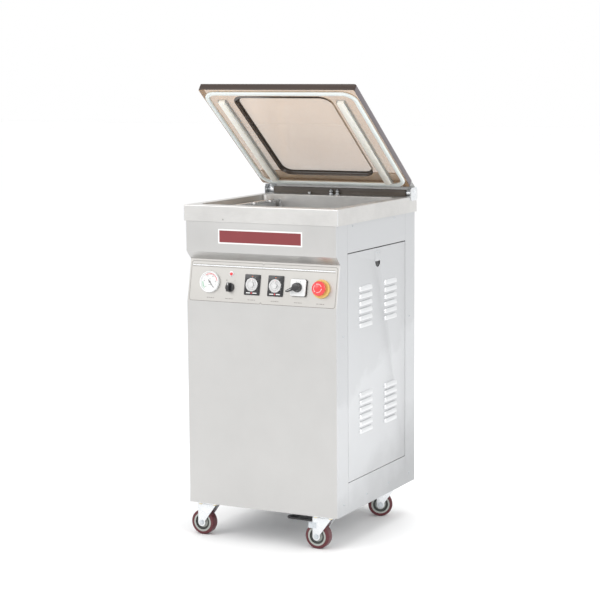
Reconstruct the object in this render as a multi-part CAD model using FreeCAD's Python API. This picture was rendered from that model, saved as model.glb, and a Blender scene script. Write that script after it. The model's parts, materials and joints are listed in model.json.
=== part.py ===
import FreeCAD, Part
import math
import os

# Vacuum chamber sealer on four casters, with its lid standing open. All sizes are in mm.
# X runs left to right, Y front to back and Z up. The origin is on the floor, at the centre.

# ---- overall ----
rim_width = 500.0
rim_depth = 554.0
rim_top = 989.0
sheet = 1.5                  # cabinet panels
tub_sheet = 2.0              # chamber, rim and base
run_gap = 0.3                # between pieces that move past each other
fit_gap = 0.08               # radial, for a shaft in its bore

# ---- chamber and its rim ----
skirt_height = 47.0
rim_back_radius = 22.0
rim_edge_radius = 3.0
mouth_edge_radius = 1.2
side_land = 29.0             # flat rim beside the opening
front_land = 39.0
back_land = 89.0
opening_radius = 25.0
tub_depth = 144.0
skirt_hole_x = -118.6
skirt_hole_up = 7.0
skirt_hole_radius = 2.0

# ---- cabinet ----
side_inset = 6.0             # rim's side to the cabinet's side
front_inset = 2.5
back_inset = 4.5
head_face = 88.5             # upright face between the skirt and the brow
brow_rise = 24.3
panel_rise = 120.7           # height of the sloped control panel
recess = 24.5                # how far the slope leans back
base_flange = 22.0
nameplate_width = 273.0
nameplate_height = 42.5
nameplate_drop = 20.5        # below the skirt
nameplate_thick = 0.8
screw_radius = 3.0
screw_height = 1.6
column_screw = 42.0          # from the cabinet's front or back
top_screw_y = (-170.0, 121.0)
top_screw_drop = 8.0
middle_screw_drop = 318.0    # below the skirt
bottom_screw_y = (-79.0, 79.0)
bottom_screw_up = 31.0

# ---- back of the cabinet ----
vent_count = 8
vent_pitch = 16.0
vent_width = 150.0
vent_height = 5.0
vent_up = 457.0              # above the cabinet's bottom
gland_from_side = 92.5
gland_up = 112.0
gland_bore = 5.0
gland_radius = 11.0
gland_nut_radius = 14.8
gland_nut = 6.7
gland_out = 20.0
gland_in = 10.0
gas_from_side = 92.5
gas_down = 207.0             # below the cover's top edge
gas_radius = 5.0
gas_thread = 6.0
gas_nut_radius = 10.0
gas_flange = 3.0
gas_bore = 3.0
gas_out = 20.0

# ---- service door ----
door_column = 72.5           # cabinet's front or back to the door
door_drop = 86.0             # skirt to the door
door_up = 90.5               # cabinet's bottom to the door
door_gap = 1.4
door_end_gap = 3.0
door_flange = 10.0
door_flange_up = 40.0        # the side flanges start above the pivot
door_pivot_in = 5.0          # behind the cabinet's inner face
door_pivot_up = 8.0
door_pin = 2.0
door_lug = 18.0
door_frame_depth = 14.0
louvre_length = 87.0
louvre_height = 14.0
louvre_proud = 5.5
louvre_shoulder = 0.7        # share of the height and the depth where the scoop turns over
louvre_pitch = 21.3
louvre_count = 6
louvre_columns = (-83.5, 91.0)   # from the door's middle
upper_louvre_drop = 115.0    # door's top to the lower edge of the group's top louvre
lower_louvre_up = 236.5      # door's bottom to the lower edge of the group's top louvre

# ---- door latch ----
latch_shift = 3.5            # behind the door's middle
latch_width = 39.0
latch_height = 31.0
latch_drop = 39.0            # door's top to the plate's lower edge
latch_sheet = 1.0
finger_inset = 2.0
finger_drop = 17.0
latch_travel = 10.0
tongue_width = 26.0
tongue_sheet = 2.0
tongue_gap = 1.0
tongue_grip = 6.0

# ---- lid ----
lid_side_overhang = 3.85
lid_front_overhang = 6.4
lid_thick = 20.8
lid_radius = 6.0
lid_open_angle = 37.0
lid_behind = 41.0            # pivot to the lid's back edge
lid_drop = 5.5               # pivot down to the lid's underside
pocket_margin = 22.0         # strip channel to the pocket
pocket_front = 47.0
pocket_back = 54.0
pocket_depth = 13.0
pocket_radius = 35.0

# ---- gasket and pressure strips on the lid's underside ----
gasket_inset = 8.5           # rim's side to the gasket's middle
gasket_width = 14.0
gasket_front = 18.0
gasket_back = 10.0
gasket_radius = 35.0
gasket_seat = 3.0
close_gap = 0.1
strip_width = 20.0
strip_proud = 14.0
strip_end_gap = 1.4          # to the opening's rounded corners, with the lid closed
channel_width = 28.0
channel_height = 8.0
channel_wall = 2.0

# ---- hinge ----
pivot_from_back = 22.0
shaft_radius = 5.0
bush_wall = 5.6
bush_over_rim = 0.4
bush_length = 21.0
bush_side_gap = 2.0          # bush to the beam's end
end_plate = 3.0
end_plate_front = 28.0
end_plate_back = 18.0
end_plate_up = 17.0
end_plate_down = 23.0
end_plate_radius = 8.0
rail_thick = 3.0
rail_on_lid = 40.0
rail_tail = 7.0
beam_front = 13.0
beam_back = 13.0
beam_chamfer = 6.0
beam_wall = 2.0
spring_wire = 1.4
spring_length = 120.0
spring_from_centre = 40.0
adjuster_pitch = 22.0
adjuster_x = -11.0
adjuster_radius = 3.0
adjuster_height = 17.0
adjuster_nut = 5.5           # half the width across flats
adjuster_nut_height = 4.5
adjuster_nut_lift = 7.65     # upper nut
adjuster_gap = 2.0

# ---- lid switch ----
plunger_x = -97.0
plunger_from_pivot = 21.0
plunger_radius = 3.0
plunger_head = 4.5
plunger_travel = 3.0
plunger_below = 9.0

# ---- seal bars ----
bar_width = 20.0
bar_height = 40.0
bar_from_wall = 27.0         # chamber's side wall to the bar's middle
bar_end_gap = 13.0
bar_lift = 6.5
tape_thick = 3.0
tape_overhang = 4.0
piston_radius = 8.0
cylinder_radius = 15.0
cylinder_inset = 70.0        # bar's end to the cylinder
cylinder_floor = 5.0
cylinder_clear = 5.0

# ---- gas pipe and posts in the chamber ----
pipe_from_bar = 14.0
pipe_radius = 4.0
pipe_drop = 15.0             # below the rim
pipe_end_gap = 6.0
nozzle_count = 4
nozzle_first = 15.0          # pipe's front end to the first nozzle
nozzle_last = 85.0
nozzle_radius = 2.6
nozzle_length = 11.0
slim_radius = 5.3
slim_from_side = 7.0
slim_from_back = 28.0
slim_drop = 1.0
cap_radius = 13.0
cap_skirt = 7.8
cap_from_bar = 20.0
cap_forward = 19.0           # ahead of the bar's middle
cap_drop = 12.0

# ---- casters ----
wheel_radius = 37.5
wheel_width = 28.0
wheel_headroom = 28.0        # tyre's top to the cabinet's bottom
wheel_edge_radius = 3.0
tread_depth = 9.0
hub_rim = 5.0
hub_dish = 5.0
hub_boss = 9.0
caster_trail = 26.0
caster_from_side = 53.0
front_caster_in = 37.5
rear_caster_in = 76.5
plate_size = 66.0
plate_thick = 3.0
bolt_pitch = 48.0
bolt_head = 5.5              # half the width across flats
bolt_head_height = 4.0
king_radius = 6.0
crown_radius = 22.0
crown_height = 8.0
bridge_inset = 4.0
fork_sheet = 2.5
fork_side_gap = 1.5
axle_radius = 4.0
axle_head = 6.5
axle_boss = 12.0
cheek_tangent = 15.0         # where the cheek's edges meet the boss, in degrees
caster_turn = {"front_left": 180.0, "front_right": 180.0, "rear_left": 160.0, "rear_right": 207.0}
pedal_ahead = 16.0           # king pin to the pedal's pivot
pedal_over_wheel = 8.5
pedal_pin = 2.5
pedal_barrel = 4.0
pedal_arm = 30.0
pedal_past_wheel = 62.5
pedal_thick = 6.0
pedal_side_gap = 1.0
pad_overlap = 2.0
pad_wider = 4.0
pad_radius = 2.0

# ---- controls: place along the panel as a share of its half width, and distance up the slope ----
gauge_place = (-0.7068, 57.0)
lamp_place = (-0.4227, 83.4)
knob_place = (-0.4318, 44.0)
timer_places = ((-0.1278, 55.0), (0.1856, 55.0))
switch_place = (0.4948, 54.0)
stop_place = (0.7876, 54.0)
gauge_radius = 31.5
gauge_proud = 9.0
gauge_rim = 3.0
gauge_can = 27.0
gauge_can_depth = 32.0
needle_level = 3.0
needle_hub = 3.0
needle_hub_height = 2.0
needle_half_width = 0.8
needle_short = 5.0           # pointer's tip to the bezel
needle_tail_share = 3.0
needle_angle = -50.0
lamp_radius = 5.0
lamp_proud = 4.0
lamp_depth = 12.0
lamp_neck = 4.0
knob_radius = 14.0
knob_skirt = 5.0
knob_top = 16.0
knob_grip = 8.7
stem_radius = 3.0
stem_depth = 10.0
stem_hole = 5.0
timer_width = 50.0
timer_height = 60.0
timer_proud = 4.0
device_width = 40.0
device_depth = 45.0
dial_radius = 19.5
dial_thick = 3.0
dial_boss = 8.2
dial_boss_height = 4.0
pointer_half_width = 1.2
pointer_length = 13.6
pointer_height = 2.0
switch_size = 50.0
switch_proud = 9.0
switch_skirt = 14.0
switch_skirt_height = 6.0
switch_hub = 12.0
switch_hub_height = 11.0
lever_long = 33.0
lever_short = 8.0
lever_half_width = 4.0
lever_angle = 25.0
stop_head = 21.0
stop_head_height = 16.0
stop_dome = 33.6
stop_stem = 5.0
stop_stem_depth = 20.0
stop_body = 10.0
stop_body_depth = 30.0
stop_bore_depth = 28.0
stop_collar = 27.0
stop_collar_height = 7.0
stop_travel = 5.0

# ---- vacuum pump and its motor ----
pump_left = -50.0
pump_width = 160.0
pump_depth = 120.0
pump_height = 129.0
pump_mount_height = 16.0
pump_mount_radius = 12.0
pump_mount_inset = 15.0
slot_count = 5
slot_first = 20.0
slot_pitch = 30.0
slot_width = 12.0
slot_depth = 8.0
slot_foot = 25.0
sight_radius = 14.0
sight_proud = 6.0
sight_up = 45.0
filter_radius = 34.0
filter_height = 80.0
filter_from_end = 40.0
filter_cap = 20.0
filter_cap_height = 12.0
motor_radius = 64.0
motor_length = 150.0
motor_up = 65.0              # motor's axis above the pump's underside
fin_count = 9
fin_pitch = 12.0
fin_gap = 8.0
fin_depth = 6.0
fin_first = 30.0
foot_half_width = 45.0
foot_from_fan = 40.0
foot_from_pump = 20.0
foot_overlap = 10.0

# ---- hose, valves and electrics ----
hose_radius = 15.0
hose_bore = 12.0
hose_rise = 18.0             # pump's inlet stub
hose_bend = 70.0
hose_shift = -90.0
hose_collar = 4.0
hose_flange = 6.0
hose_flange_thick = 10.0
valve_left = 40.0
valve_width = 110.0
valve_depth = 50.0
valve_height = 40.0
valve_from_back = 78.0
coil_count = 3
coil_first = 18.0
coil_pitch = 37.0
coil_radius = 14.0
coil_height = 50.0
core_width = 80.0
core_depth = 90.0
core_height = 90.0
winding_width = 104.0
winding_depth = 54.0
winding_height = 60.0
winding_up = 15.0
transformer_from_side = 82.5
transformer_from_back = 117.5
board_thick = 3.0
board_front = -190.0
board_length = 340.0
board_up = 215.0
board_height = 380.0
device_rows = 3
device_row_pitch = 110.0
device_row_first = 40.0
device_columns = 3
device_column_pitch = 105.0
device_column_first = 20.0
device_length = 80.0
device_height = 75.0
device_shallow = 45.0
device_deeper = 12.0

# ---- worked out from the sizes above ----
caster_height = 2 * wheel_radius + wheel_headroom
base_top = caster_height + tub_sheet
rim_under = rim_top - tub_sheet
skirt_low = rim_top - skirt_height
side_x = rim_width / 2 - side_inset
inner_x = side_x - sheet
front_y = -rim_depth / 2 + front_inset
back_y = rim_depth / 2 - back_inset
cover_top = rim_top - rim_back_radius
brow_top = skirt_low - head_face
brow_low = brow_top - brow_rise
fold_height = brow_low - panel_rise
panel_angle = math.degrees(math.atan2(panel_rise, recess))
open_half = rim_width / 2 - side_land
open_front = -rim_depth / 2 + front_land
open_back = rim_depth / 2 - back_land
tub_floor = rim_top - tub_depth
bush_radius = shaft_radius + bush_wall
pivot_y = rim_depth / 2 - pivot_from_back
pivot_z = rim_top + bush_radius + bush_over_rim
beam_up = shaft_radius + spring_wire + 2 * run_gap + beam_wall
lid_half = rim_width / 2 + lid_side_overhang
lid_front = -rim_depth / 2 - lid_front_overhang
lid_back = pivot_y - lid_behind
lid_under = pivot_z - lid_drop
lid_top = lid_under + lid_thick
gasket_x = rim_width / 2 - gasket_inset
gasket_proud = lid_under - rim_top - close_gap
strip_x = open_half - bar_from_wall
strip_reach = max(0.0, strip_x + channel_width / 2 - open_half + opening_radius)
corner_sag = opening_radius - math.sqrt(opening_radius ** 2 - strip_reach ** 2)
strip_back = open_back - corner_sag - strip_end_gap
strip_front = open_front + corner_sag + strip_end_gap
pocket_half = strip_x - channel_width / 2 - pocket_margin
bar_top = lid_under - strip_proud - bar_lift - close_gap
bar_front = open_front + bar_end_gap
bar_back = open_back - bar_end_gap
bar_y = (bar_front + bar_back) / 2
bar_low = bar_top - tape_thick - bar_height
pipe_x = -(strip_x - bar_width / 2 - pipe_from_bar)
pipe_z = rim_top - pipe_drop
door_near = front_y + door_column
door_far = back_y - door_column
door_middle = (door_near + door_far) / 2
door_bottom = caster_height + door_up
door_top = skirt_low - door_drop
door_pivot_x = inner_x - door_pivot_in
door_pivot_z = door_bottom + door_pivot_up
latch_y = door_middle + latch_shift
latch_bottom = door_top - latch_drop
plunger_y = pivot_y - plunger_from_pivot
gland_at = (inner_x - gland_from_side, caster_height + gland_up)
gas_at = (-inner_x + gas_from_side, cover_top - gas_down)
vent_low = caster_height + vent_up
caster_x = side_x - caster_from_side
front_caster_y = front_y + front_caster_in
rear_caster_y = back_y - rear_caster_in
pedal_z = 2 * wheel_radius + pedal_over_wheel
pedal_reach = caster_trail + wheel_radius + pedal_past_wheel
pump_low = base_top + pump_mount_height
pump_high = pump_low + pump_height
pump_right = pump_left + pump_width
motor_left = pump_left - motor_length
motor_z = pump_low + motor_up
hose_start = pump_high + hose_rise
tub_under = tub_floor - tub_sheet


def vec(x, y, z):
    return FreeCAD.Vector(x, y, z)


def box(x0, x1, y0, y1, z0, z1):
    return Part.makeBox(x1 - x0, y1 - y0, z1 - z0, vec(x0, y0, z0))


def rod(radius, start, end):
    along = end.sub(start)
    return Part.makeCylinder(radius, along.Length, start, along)


def upright_edges(block):
    return [e for e in block.Edges if abs(e.Vertexes[0].Z - e.Vertexes[-1].Z) > block.BoundBox.ZLength / 2]


def rounded_box(x0, x1, y0, y1, z0, z1, radius):
    block = box(x0, x1, y0, y1, z0, z1)
    return block.makeFillet(radius, upright_edges(block))


def extrude(points, along):
    return Part.Face(Part.makePolygon(points + points[:1])).extrude(along)


def prism_x(outline, x0, x1):
    return extrude([vec(x0, y, z) for y, z in outline], vec(x1 - x0, 0, 0))


def prism_y(outline, y0, y1):
    return extrude([vec(x, y0, z) for x, z in outline], vec(0, y1 - y0, 0))


def hexagon(half_across, height, at):
    radius = half_across * 2 / math.sqrt(3)
    corners = [math.radians(60 * k) for k in range(6)]
    points = [vec(at.x + radius * math.cos(a), at.y + radius * math.sin(a), at.z) for a in corners]
    return extrude(points, vec(0, 0, height))


def save(name, *pieces):
    shape = pieces[0] if len(pieces) == 1 else Part.makeCompound(list(pieces))
    shape.exportStep("parts/" + name + ".step")


# ---------------------------------------------------------------- cabinet

def front_outline():
    return [
        (front_y, caster_height),
        (front_y, fold_height),
        (front_y + recess, brow_low),
        (front_y, brow_top),
        (front_y, rim_under),
    ]


def inward(outline, thick):
    """The outline moved into the cabinet by a sheet's thickness, with mitred corners."""
    normals = []
    for (y0, z0), (y1, z1) in zip(outline, outline[1:]):
        length = math.hypot(y1 - y0, z1 - z0)
        normals.append(((z1 - z0) / length, -(y1 - y0) / length))
    before = [normals[0]] + normals
    after = normals + [normals[-1]]
    moved = []
    for (y, z), (ay, az), (by, bz) in zip(outline, before, after):
        scale = thick / (1 + ay * by + az * bz)
        moved.append((y + (ay + by) * scale, z + (az + bz) * scale))
    return moved


def front_sheet(first, last):
    outer = front_outline()
    inner = inward(outer, sheet)
    return prism_x(outer[first:last + 1] + inner[first:last + 1][::-1], -inner_x, inner_x)


def side_sheet(x0, x1):
    bend_start = rim_depth / 2 - rim_back_radius
    back_outline = [(bend_start, rim_under), (back_y, cover_top), (back_y, caster_height)]
    return prism_x(front_outline() + back_outline, x0, x1)


def right_side():
    low = door_bottom - door_gap
    high = door_top + door_end_gap
    panel = side_sheet(inner_x, side_x)
    panel = panel.cut(box(inner_x, side_x, door_near - door_gap, door_far + door_gap, low, high))
    for y in (door_near - door_gap - sheet, door_far + door_gap):
        frame = box(inner_x - door_frame_depth, inner_x, y, y + sheet, low, high)
        at = vec(door_pivot_x, y, door_pivot_z)
        bore = rod(door_pin + fit_gap, at, at.add(vec(0, sheet, 0)))
        panel = panel.fuse(frame.cut(bore))
    return panel.removeSplitter()


def base_frame():
    y0 = front_y + sheet
    y1 = back_y - sheet
    top = base_top + base_flange
    wall = tub_sheet
    outer = box(-inner_x, inner_x, y0, y1, caster_height, top)
    return outer.cut(box(-inner_x + wall, inner_x - wall, y0 + wall, y1 - wall, base_top, top))


def rear_cover():
    panel = box(-inner_x, inner_x, back_y - sheet, back_y, caster_height, cover_top)
    half_vent = vent_width / 2
    for k in range(vent_count):
        low = vent_low + k * vent_pitch
        panel = panel.cut(box(-half_vent, half_vent, back_y - sheet, back_y, low, low + vent_height))
    for (x, z), radius in ((gland_at, gland_radius), (gas_at, gas_thread)):
        panel = panel.cut(rod(radius, vec(x, back_y - sheet, z), vec(x, back_y, z)))
    return panel


def cable_gland():
    x, z = gland_at
    start = vec(x, back_y - gland_in, z)
    end = vec(x, back_y + gland_out, z)
    nut = rod(gland_nut_radius, vec(x, back_y, z), vec(x, back_y + gland_nut, z))
    return rod(gland_radius, start, end).fuse(nut).cut(rod(gland_bore, start, end))


def gas_inlet():
    x, z = gas_at
    start = vec(x, back_y - gland_in, z)
    face = vec(x, back_y, z)
    shoulder = vec(x, back_y + gas_flange, z)
    end = vec(x, back_y + gas_flange + gas_out, z)
    inlet = rod(gas_thread, start, face).fuse(rod(gas_nut_radius, start, vec(x, back_y - sheet, z)))
    inlet = inlet.fuse(rod(gas_nut_radius, face, shoulder)).fuse(rod(gas_radius, shoulder, end))
    return inlet.cut(rod(gas_bore, start, end))


def nameplate():
    half = nameplate_width / 2
    high = skirt_low - nameplate_drop
    return box(-half, half, front_y - nameplate_thick, front_y, high - nameplate_height, high)


def side_screw_places():
    columns = (front_y + column_screw, back_y - column_screw)
    bottom = caster_height + bottom_screw_up
    places = [(y, skirt_low - top_screw_drop) for y in top_screw_y]
    places += [(y, skirt_low - middle_screw_drop) for y in columns]
    places += [(y, bottom) for y in columns + bottom_screw_y]
    return places


def panel_screws():
    heads = []
    for side in (-1, 1):
        face = side * side_x
        for y, z in side_screw_places():
            heads.append(rod(screw_radius, vec(face, y, z), vec(face + side * screw_height, y, z)))
    return heads


# ---------------------------------------------------------------- service door

def louvre(centre_y, low):
    """A pressed scoop with its mouth at the bottom, and the hollow behind it."""
    y0 = centre_y - louvre_length / 2
    y1 = centre_y + louvre_length / 2
    out = side_x + louvre_proud
    turn_x = side_x + louvre_proud * louvre_shoulder
    turn_z = low + louvre_height * louvre_shoulder
    lip_z = low + louvre_height * (1 - louvre_shoulder)
    throat = low + louvre_height - 2 * sheet
    skin = [(side_x, low + louvre_height), (turn_x, turn_z), (out, lip_z), (out, low), (side_x, low)]
    hollow = [(inner_x, throat), (side_x, throat), (turn_x - sheet, turn_z - sheet),
              (out - sheet, lip_z - sheet / 2), (out - sheet, low), (inner_x, low)]
    return prism_y(skin, y0, y1), prism_y(hollow, y0 + sheet, y1 - sheet)


def finger_hole():
    """Half-round hole below the latch plate, as a tool for cutting."""
    radius = latch_width / 2 - finger_inset
    round_part = rod(radius, vec(inner_x, latch_y, latch_bottom), vec(side_x, latch_y, latch_bottom))
    lower_half = box(inner_x, side_x, latch_y - radius, latch_y + radius, latch_bottom - finger_drop,
                     latch_bottom)
    return round_part.common(lower_half)


def door_pivot(y, outward):
    """A lug inside a lower corner of the door, with the pin that turns in the door frame."""
    lug = box(door_pivot_x - door_pivot_in, inner_x, min(y, y - outward * sheet), max(y, y - outward * sheet),
              door_bottom, door_bottom + door_lug)
    end = y + outward * (door_gap + sheet)
    return lug.fuse(rod(door_pin, vec(door_pivot_x, y, door_pivot_z), vec(door_pivot_x, end, door_pivot_z)))


def service_door():
    flange_x = inner_x - door_flange
    door = box(inner_x, side_x, door_near, door_far, door_bottom, door_top)
    for y in (door_near, door_far - sheet):
        door = door.fuse(box(flange_x, inner_x, y, y + sheet, door_bottom + door_flange_up, door_top))
    door = door.fuse(door_pivot(door_near, -1)).fuse(door_pivot(door_far, 1))
    door = door.fuse(box(flange_x, inner_x, door_near, door_far, door_top - sheet, door_top))
    slot = tongue_width / 2 + tongue_gap
    door = door.cut(box(flange_x, inner_x, latch_y - slot, latch_y + slot, door_top - sheet, door_top))
    for top in (door_top - upper_louvre_drop, door_bottom + lower_louvre_up):
        for shift in louvre_columns:
            for k in range(louvre_count):
                skin, hollow = louvre(door_middle + shift, top - k * louvre_pitch)
                door = door.fuse(skin).cut(hollow)
    return door.cut(finger_hole())


def latch_plate():
    out = side_x + latch_sheet
    half = latch_width / 2
    pieces = [box(side_x, out, latch_y - half, latch_y + half, latch_bottom, latch_bottom + latch_height)]
    for dy in (-half / 2, half / 2):
        at = vec(out, latch_y + dy, latch_bottom + latch_height - 2 * screw_radius)
        pieces.append(rod(screw_radius, at, at.add(vec(latch_sheet, 0, 0))))
    return pieces


def latch_tongue():
    x1 = inner_x - run_gap
    x0 = x1 - tongue_sheet
    y0 = latch_y - tongue_width / 2
    y1 = latch_y + tongue_width / 2
    low = latch_bottom - finger_drop - latch_travel
    tongue = box(x0, x1, y0, y1, low, door_top - run_gap)
    return tongue.fuse(box(x0 - tongue_grip, x0, y0, y1, low, low + tongue_sheet))


# ---------------------------------------------------------------- chamber

def rim_block(x, y, top, back_radius):
    """A block over the cabinet with its rear top edge rounded."""
    block = box(-x, x, -y, y, skirt_low, top)
    rear = [e for e in block.Edges if e.CenterOfMass.z > top - 1 and e.CenterOfMass.y > y - 1]
    return block.makeFillet(back_radius, rear)


def soften_rim(block, radius):
    """Rounds the upright front edges, then every outer edge of the top."""
    front = [e for e in upright_edges(block) if e.CenterOfMass.y < 0]
    block = block.makeFillet(radius, front)
    low = block.BoundBox.ZMin
    crown = [e for e in block.Edges if e.CenterOfMass.z > low + skirt_height / 2 + radius
             and (e.CenterOfMass.y < 0 or abs(e.CenterOfMass.x) > block.BoundBox.XMax - radius)]
    return block.makeFillet(radius, crown)


def rim_shell():
    x = rim_width / 2
    y = rim_depth / 2
    outer = soften_rim(rim_block(x, y, rim_top, rim_back_radius), rim_edge_radius)
    return outer.cut(rim_block(x - tub_sheet, y - tub_sheet, rim_under, rim_back_radius - tub_sheet))


def chamber():
    wall = open_half + tub_sheet
    room = rounded_box(-open_half, open_half, open_front, open_back, tub_floor, rim_top, opening_radius)
    tub = rounded_box(-wall, wall, open_front - tub_sheet, open_back + tub_sheet, tub_under, rim_top,
                      opening_radius + tub_sheet)
    body = rim_shell().fuse(tub).cut(room)
    mouth = [e for e in body.Edges if e.CenterOfMass.z > rim_top - fit_gap and abs(e.CenterOfMass.x) < wall
             and open_front - 1 < e.CenterOfMass.y < open_back + 1]
    body = body.makeFillet(mouth_edge_radius, mouth)
    body = body.cut(rod(plunger_radius + fit_gap, vec(plunger_x, plunger_y, rim_under),
                        vec(plunger_x, plunger_y, rim_top)))
    hole_z = skirt_low + skirt_hole_up
    front = -rim_depth / 2
    return body.cut(rod(skirt_hole_radius, vec(skirt_hole_x, front, hole_z),
                        vec(skirt_hole_x, front + tub_sheet, hole_z)))


def switch_plunger():
    head_low = rim_top + plunger_travel + run_gap
    foot = rim_under - plunger_below
    at = vec(plunger_x, plunger_y, 0)
    stem = rod(plunger_radius, at.add(vec(0, 0, foot)), at.add(vec(0, 0, head_low)))
    head = rod(plunger_head, at.add(vec(0, 0, head_low)), at.add(vec(0, 0, head_low + plunger_travel)))
    keeper = rod(plunger_head, at.add(vec(0, 0, foot)), at.add(vec(0, 0, rim_under - plunger_travel)))
    return stem.fuse(head).fuse(keeper)


def cylinder_places(side):
    return [(side * strip_x, bar_front + cylinder_inset), (side * strip_x, bar_back - cylinder_inset)]


def seal_bar(side):
    x = side * strip_x
    bar = box(x - bar_width / 2, x + bar_width / 2, bar_front, bar_back, bar_low, bar_low + bar_height)
    for x, y in cylinder_places(side):
        bar = bar.fuse(rod(piston_radius, vec(x, y, tub_floor + 2 * cylinder_floor), vec(x, y, bar_low)))
    return bar


def heating_strip(side):
    x = side * strip_x
    return box(x - bar_width / 2, x + bar_width / 2, bar_front + tape_overhang, bar_back - tape_overhang,
               bar_top - tape_thick, bar_top)


def lift_cylinders():
    top = bar_low - cylinder_clear
    barrels = []
    for x, y in cylinder_places(-1) + cylinder_places(1):
        barrel = rod(cylinder_radius, vec(x, y, tub_floor), vec(x, y, top))
        bore = rod(piston_radius + fit_gap, vec(x, y, tub_floor + cylinder_floor), vec(x, y, top))
        barrels.append(barrel.cut(bore))
    return barrels


def gas_pipe():
    near = open_front + pipe_end_gap + pipe_radius
    far = open_back - pipe_end_gap - pipe_radius
    pipe = rod(pipe_radius, vec(pipe_x, near, pipe_z), vec(pipe_x, far, pipe_z))
    for y in (near, far):
        pipe = pipe.fuse(rod(pipe_radius, vec(pipe_x, y, tub_floor), vec(pipe_x, y, pipe_z)))
        pipe = pipe.fuse(Part.makeSphere(pipe_radius, vec(pipe_x, y, pipe_z)))
    pitch = (far - near - nozzle_first - nozzle_last) / (nozzle_count - 1)
    for k in range(nozzle_count):
        y = near + nozzle_first + k * pitch
        pipe = pipe.fuse(rod(nozzle_radius, vec(pipe_x, y, pipe_z), vec(pipe_x + nozzle_length, y, pipe_z)))
    return pipe


def slim_post():
    at = vec(-open_half + slim_from_side, open_back - slim_from_back, tub_floor)
    tip = slim_radius / 2
    straight = rim_top - slim_drop - tip - tub_floor
    post = Part.makeCylinder(slim_radius, straight, at)
    return post.fuse(Part.makeCone(slim_radius, tip, tip, at.add(vec(0, 0, straight))))


def cap_post():
    x = strip_x - bar_width / 2 - cap_from_bar
    y = bar_y - cap_forward
    middle = rim_top - cap_drop - cap_radius
    stem = rod(cap_radius / 2, vec(x, y, tub_floor), vec(x, y, middle))
    skirt = rod(cap_radius, vec(x, y, middle - cap_skirt), vec(x, y, middle))
    dome = Part.makeSphere(cap_radius, vec(x, y, middle), vec(0, 0, 1), 0, 90)
    return stem.fuse(skirt).fuse(dome)


# ---------------------------------------------------------------- lid

def open_lid(shape):
    shape = shape.copy()
    shape.rotate(vec(0, pivot_y, pivot_z), vec(1, 0, 0), -lid_open_angle)
    return shape


def gasket_ring(z0, z1):
    half = gasket_width / 2
    near = lid_front + gasket_front
    far = lid_back - gasket_back
    outer_x = gasket_x + half
    inner_side = gasket_x - half
    outer = rounded_box(-outer_x, outer_x, near - half, far + half, z0, z1, gasket_radius + half)
    inner = rounded_box(-inner_side, inner_side, near + half, far - half, z0, z1, gasket_radius - half)
    return outer.cut(inner)


def lid_plate():
    plate = rounded_box(-lid_half, lid_half, lid_front, lid_back, lid_under, lid_top, lid_radius)
    pocket = rounded_box(-pocket_half, pocket_half, lid_front + pocket_front, lid_back - pocket_back,
                         lid_under, lid_under + pocket_depth, pocket_radius)
    return plate.cut(pocket).cut(gasket_ring(lid_under, lid_under + gasket_seat))


def strip_channel(side):
    x = side * strip_x
    half = channel_width / 2
    slot = strip_width / 2
    low = lid_under - channel_height
    outer = box(x - half, x + half, strip_front, strip_back, low, lid_under)
    return outer.cut(box(x - slot, x + slot, strip_front, strip_back, low, lid_under - channel_wall))


def pressure_strip(side):
    x = side * strip_x
    half = strip_width / 2
    return box(x - half, x + half, strip_front, strip_back, lid_under - strip_proud, lid_under - channel_wall)


def lid_rail():
    half = rim_width / 2 - 2 * run_gap
    return box(-half, half, lid_back - rail_on_lid, pivot_y + rail_tail, lid_top, lid_top + rail_thick)


def lid_bushes():
    outer = rim_width / 2 - 2 * run_gap
    bushes = []
    for x0, x1 in ((-outer, -outer + bush_length), (outer - bush_length, outer)):
        a = vec(x0, pivot_y, pivot_z)
        b = vec(x1, pivot_y, pivot_z)
        web = box(x0, x1, pivot_y - rail_tail, pivot_y + rail_tail, pivot_z, lid_top)
        bushes.append(rod(bush_radius, a, b).fuse(web).cut(rod(shaft_radius + fit_gap, a, b)))
    return bushes


# ---------------------------------------------------------------- hinge

def hinge_beam():
    half = rim_width / 2 - 2 * run_gap - bush_length - bush_side_gap
    near = pivot_y - beam_front
    far = pivot_y + beam_back
    top = pivot_z + beam_up
    wall = beam_wall
    outline = [(near, rim_top), (far, rim_top), (far, pivot_z), (far - beam_chamfer, top), (near, top)]
    hollow = [(near + wall, rim_top), (far - wall, rim_top), (far - wall, pivot_z - wall / 2),
              (far - beam_chamfer - wall, top - wall), (near + wall, top - wall)]
    beam = prism_x(outline, -half, half).cut(prism_x(hollow, -half + wall, half - wall))
    return beam.cut(rod(shaft_radius, vec(-half, pivot_y, pivot_z), vec(half, pivot_y, pivot_z)))


def hinge_shaft():
    half = rim_width / 2 + end_plate
    return rod(shaft_radius, vec(-half, pivot_y, pivot_z), vec(half, pivot_y, pivot_z))


def end_plates():
    plates = []
    for x0 in (-rim_width / 2 - end_plate, rim_width / 2):
        plate = box(x0, x0 + end_plate, pivot_y - end_plate_front, pivot_y + end_plate_back,
                    pivot_z - end_plate_down, pivot_z + end_plate_up)
        across = [e for e in plate.Edges if e.BoundBox.XLength > end_plate / 2]
        plate = plate.makeFillet(end_plate_radius, across)
        at = vec(x0, pivot_y, pivot_z)
        plates.append(plate.cut(rod(shaft_radius, at, at.add(vec(end_plate, 0, 0)))))
    return plates


def torsion_springs():
    bore = shaft_radius + run_gap
    springs = []
    for x0 in (-spring_from_centre - spring_length, spring_from_centre):
        a = vec(x0, pivot_y, pivot_z)
        b = vec(x0 + spring_length, pivot_y, pivot_z)
        springs.append(rod(bore + spring_wire, a, b).cut(rod(bore, a, b)))
    return springs


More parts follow.
